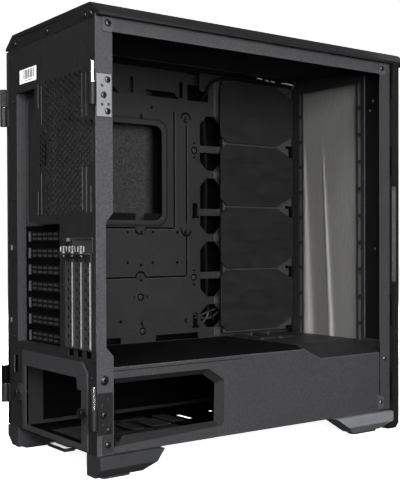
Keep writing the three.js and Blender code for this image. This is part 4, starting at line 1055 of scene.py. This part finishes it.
# ---- filters
def front_cloth():
    """The stretched front filter: a thin sheet with soft ridges where it pulls tight."""
    x0, x1, z0, z1 = -69.5, 69.5, 56.5, 487.5
    across, along = 70, 150
    top, under = [], []
    for j in range(along + 1):
        z = z0 + (z1 - z0) * j / along
        for i in range(across + 1):
            x = x0 + (x1 - x0) * i / across
            fall = max(0.0, (415 - z) / 305)
            ridge = 0.0
            for start, end, narrow, wide in ((57.7, 48.5, 2.0, 12.0), (18.0, -2.0, 1.6, 6.5)):
                middle = start + (end - start) * fall
                half = narrow + (wide - narrow) * fall
                ridge += min(1.0, fall * 3) * math.exp(-((x - middle) / half) ** 2)
            edge = min(1.0, (x - x0) / 8, (x1 - x) / 8, (z - z0) / 8, (z1 - z) / 8)
            lift = edge * (1.7 * ridge + 0.12 * math.sin(x * 0.9 + z * 0.05) + 0.15 * math.sin(z * 0.11))
            top.append((x, -216.4 + lift, z))
            under.append((x, -217.0 + lift, z))
    vertices = top + under
    count = (across + 1) * (along + 1)
    faces = []
    for j in range(along):
        for i in range(across):
            a = j * (across + 1) + i
            quad = (a, a + 1, a + across + 2, a + across + 1)
            faces += [quad, tuple(count + k for k in quad[::-1])]
    border = [i for i in range(across + 1)]
    border += [j * (across + 1) + across for j in range(1, along + 1)]
    border += [along * (across + 1) + i for i in range(across - 1, -1, -1)]
    border += [j * (across + 1) for j in range(along - 1, 0, -1)]
    for k, a in enumerate(border):
        b = border[(k + 1) % len(border)]
        faces.append((a, b, count + b, count + a))
    cloth = make("front_filter_cloth", [(vertices, faces)], CLOTH)
    for face in cloth.data.polygons:
        face.use_smooth = True
    stand_for(cloth, "front_filter")


def top_cloth():
    obj = copy_node("top_filter", "top_filter_cloth", ROOF_CLOTH)
    stand_for(obj, "top_filter")


def top_grille():
    holes = hexes("z", 508, 524, (-66, 66), (-178, 206), 7.0, 3.1)
    dress("top_grille", "top_grille_vented", PLASTIC, holes, 0.3, 1, "top_grille")


def bottom_filter():
    low, high = [[c / MM for c in corner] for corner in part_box("bottom_filter")]
    x0, x1, y0, y1 = low[0] + 8, high[0] - 8, low[1] + 8, 222 - 8
    middle = (x0 + x1) / 2
    third = (y1 - y0) / 3
    windows = []
    for i in range(3):
        a, b = y0 + third * i + 1.5, y0 + third * (i + 1) - 1.5
        windows += [box(x0, middle - 1.5, a, b, 10, 30), box(middle + 1.5, x1, a, b, 10, 30)]
    dress("bottom_filter", "bottom_filter_frame", PLASTIC, windows, 0.4, 1, "bottom_filter")
    z = (low[2] + high[2]) / 2
    sheet = box(x0 - 3, x1 + 3, y0 - 3, y1 + 3, z - 0.25, z + 0.25)
    net = add_piece("bottom_filter_net", [sheet], FLAT_CLOTH, "bottom_filter")
    tab = prism("z", [(-46, 235), (-12, 235), (-12, 244.5), (-46, 244.5)], high[2] - 1.2, high[2] - 0.7)
    add_piece("pull_tab_face", [tab], PULL_TAB, "bottom_filter")


front_cloth()
top_cloth()
top_grille()
bottom_filter()


def fan_plate():
    front = FAN_PLATE_Y + 0.3
    # A paler strip at the plate's fold is painted highlight, and the near-black paint beyond it is painted
    # shade.
    fold = box(-74.3, -72.9, FAN_PLATE_Y, FAN_PLATE_Y + 1.4, 125, 497)
    add_piece("fan_plate_fold_highlight", [fold], HIGHLIGHT_PAINT)
    shaded = box(-110.2, -74.4, FAN_PLATE_Y, front, 125, 497)
    add_piece("fan_plate_shade", [shaded], INNER_PAINTED_SHADE)
    screws = [(-89.5, 455, front, 1.8), (-83.8, 442, front, 1.6), (-93, 250, front, 1.6)]
    add_screws("fan_plate_screws", "y", 1, screws, BRIGHT_SCREW)


fan_plate()


# ---- small cable parts under the roof
def tube(points, radius, sides=8):
    """A round tube through the points, with flat ends."""
    vertices, faces = [], []
    line = [Vector(p) for p in points]
    for i, point in enumerate(line):
        ahead = (line[min(i + 1, len(line) - 1)] - line[max(i - 1, 0)]).normalized()
        across = ahead.cross(Vector((0.3, 0.2, 0.93))).normalized()
        over = ahead.cross(across)
        for k in range(sides):
            turn = 2 * math.pi * k / sides
            vertices.append(tuple(point + radius * (math.cos(turn) * across + math.sin(turn) * over)))
    for i in range(len(line) - 1):
        for k in range(sides):
            n = (k + 1) % sides
            faces.append((i * sides + k, i * sides + n, (i + 1) * sides + n, (i + 1) * sides + k))
    last = (len(line) - 1) * sides
    faces += [tuple(range(sides))[::-1], tuple(range(last, last + sides))]
    return vertices, faces


def bow(start, middle, end, steps=10):
    """Points on a smooth arc through three control points."""
    a, b, c = Vector(start), Vector(middle), Vector(end)
    shares = [i / steps for i in range(steps + 1)]
    return [((1 - t) ** 2) * a + 2 * t * (1 - t) * b + t * t * c for t in shares]


def socket_cable():
    """The sleeved cable on its CAD route, its side branch and its slack behind the lowest cable hole."""
    sleeve = copy_node("front_socket_cable", "front_socket_cable_sleeve", SLEEVE)
    stand_for(sleeve, "front_socket_cable")
    branch = [tube(bow((70, -206, 505), (52, -196, 499), (74, -197, 484)), 1.3)]
    branch.append(tube(bow((99, -82, 158), (94.5, -60, 141), (99, -38, 157)), 1.5))
    branch.append(tube(bow((99, -82, 164), (94, -58, 158), (99, -38, 150)), 1.3))
    branch.append(tube(bow((98, -62, 166), (95.5, -66, 150), (99, -46, 139)), 1.3))
    slack = make("front_socket_cable_branch", branch, BRANCH)
    for face in slack.data.polygons:
        face.use_smooth = True
    stand_for(slack, "front_socket_cable")
    marks = []
    for x, y0, y1, z in ((59.5, -134, -124, 498.6), (62, -148, -142, 497.8), (63, -161, -154, 497.6),
                         (64, -197, -176, 497.2)):
        marks.append(tube([(x, y0, z - 0.4), (x - 0.6, (y0 + y1) / 2, z + 0.2), (x, y1, z + 0.5)], 0.85, 6))
    thin = make("front_socket_cable_leads", marks, WIRE)
    stand_for(thin, "front_socket_cable")


socket_cable()

# ---- every other CAD piece
# Inner faces keep the darker paint as painted shade; the posts' and rails' outer faces get the paler one.
for name, inner, outer in (("roof_panel", ROOF_PAINT, LIT_RAIL_PAINT), ("front_fan_panel", SHADED_PLATE_PAINT, PAINT)):
    sheet = copy_node(name, name + "_sheet", inner)
    paint_side(sheet, outer)
    soften(sheet, 0.35, 1)
    stand_for(sheet, name)
finish_node("supply_bracket", PAINT, 0.5)
finish_node("slot_retainer", FRAME_PAINT, 0.1)
# The drive cage and bracket are in near-black paint: painted shade.
for name in ("drive_cage", "drive_bracket"):
    finish_node(name, INNER_PAINTED_SHADE, 0.4)
finish_node("cable_cover_frame", FRAME_PAINT, 0.3)
door = copy_node("right_door", "right_door_skin", DOOR_PAINT)
paint_faces(door, PAINT, lambda c, n, area: c.x > 117.5)
soften(door, 0.4, 2)
stand_for(door, "right_door", "right_door")
for name in ("right_upper_hinge_leaf", "right_lower_hinge_leaf"):
    finish_node(name, PLASTIC, 0.4)
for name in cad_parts:
    if name.endswith("hinge_pin"):
        finish_node(name, NICKEL, 0.5, 3)
    if name.startswith("cable_cover_") and name != "cable_cover_frame":
        finish_node(name, COVER_PLASTIC, 0.7, 3)
    if name.endswith("_foot"):
        # Front feet take the paler copy of the foot plastic as painted light.
        finish_node(name, LIT_FRONT_FOOT_PLASTIC if name.startswith("front") else FOOT_PLASTIC, 0.8, 3)
    if name.endswith("_pad"):
        finish_node(name, RUBBER, 0.5)
knurled_screws("upright_slot_screw", "z", THUMB_SCREW)
knurled_screws("supply_thumbscrew", "y", SCREW)
finish_node("front_panel", FRONT_PLASTIC, 0.8, 3)
seam = [box(-30, 80, REAR_Y - 0.7, REAR_Y + 2, 513.4, 514.5), box(79, 80, REAR_Y - 0.7, REAR_Y + 2, 505, 513.4)]
dress("top_cover", "top_cover_shell", SHELL_PLASTIC, seam, 0.8, 2)
for name in ("drive_tray_1", "drive_tray_2", "power_button", "reset_button"):
    finish_node(name, PLASTIC, 0.4)
finish_node("front_socket_board", BOARD, 0)


# ---- floor and lights
def glowing(name, strength, tone):
    n = Nodes(name)
    n.color(n.ramp(n.noise(3, 3), [(0.3, shade((tone,) * 3, 0.98)), (0.7, (tone,) * 3)]))
    n.set("Roughness", 0.8)
    n.set("Emission Color", (1, 1, 1, 1))
    n.set("Emission Strength", strength)
    return n.material


def add_studio():
    """A pale floor and backdrop that light nothing else and take no shadow."""
    material = glowing("studio_white", 0.9, 0.9)
    size = 9000
    sides = 48
    wall = ([(x, y, z) for z in (-5, size) for x, y in ring_points(0, 0, size, sides)],
            [(i, (i + 1) % sides, sides + (i + 1) % sides, sides + i) for i in range(sides)])
    for name, part in (("studio_floor", box(-size, size, -size, size, -4, 0)), ("studio_backdrop", wall),
                       ("studio_lid", box(-size, size, -size, size, size, size + 4))):
        obj = make(name, [part], material)
        obj.visible_diffuse = False
        obj.visible_glossy = False
        obj.visible_shadow = False


def add_light(name, at, target, size, watts, color=(1, 1, 1)):
    data = bpy.data.lights.new(name, "AREA")
    data.shape = "RECTANGLE"
    data.size, data.size_y = size
    data.energy = watts
    data.color = color
    light = bpy.data.objects.new(name, data)
    light.location = at
    light.rotation_euler = (Vector(target) - Vector(at)).to_track_quat("-Z", "Y").to_euler()
    bpy.context.scene.collection.objects.link(light)


add_studio()
add_light("side_key", (-2.1, 0.8, 0.62), (0, 0, 0.3), (1.6, 1.0), 116)
add_light("rear_key", (-0.8, 1.8, 1.9), (0, 0.2, 0.3), (1.4, 1.0), 75)
add_light("overhead", (-0.9, 0.1, 2.6), (0, 0, 0.3), (1.6, 2.4), 14)
add_light("front_fill", (1.3, -2.3, 1.1), (0, -0.2, 0.25), (1.4, 1.0), 70)
add_light("right_fill", (2.3, -0.35, 1.1), (0.1, 0, 0.25), (1.0, 1.0), 60)
world = bpy.data.worlds.new("studio")
world.use_nodes = True
world.node_tree.nodes["Background"].inputs["Color"].default_value = (1, 1, 1, 1)
world.node_tree.nodes["Background"].inputs["Strength"].default_value = 0.06
bpy.context.scene.world = world
bpy.context.scene.view_settings.view_transform = "Standard"
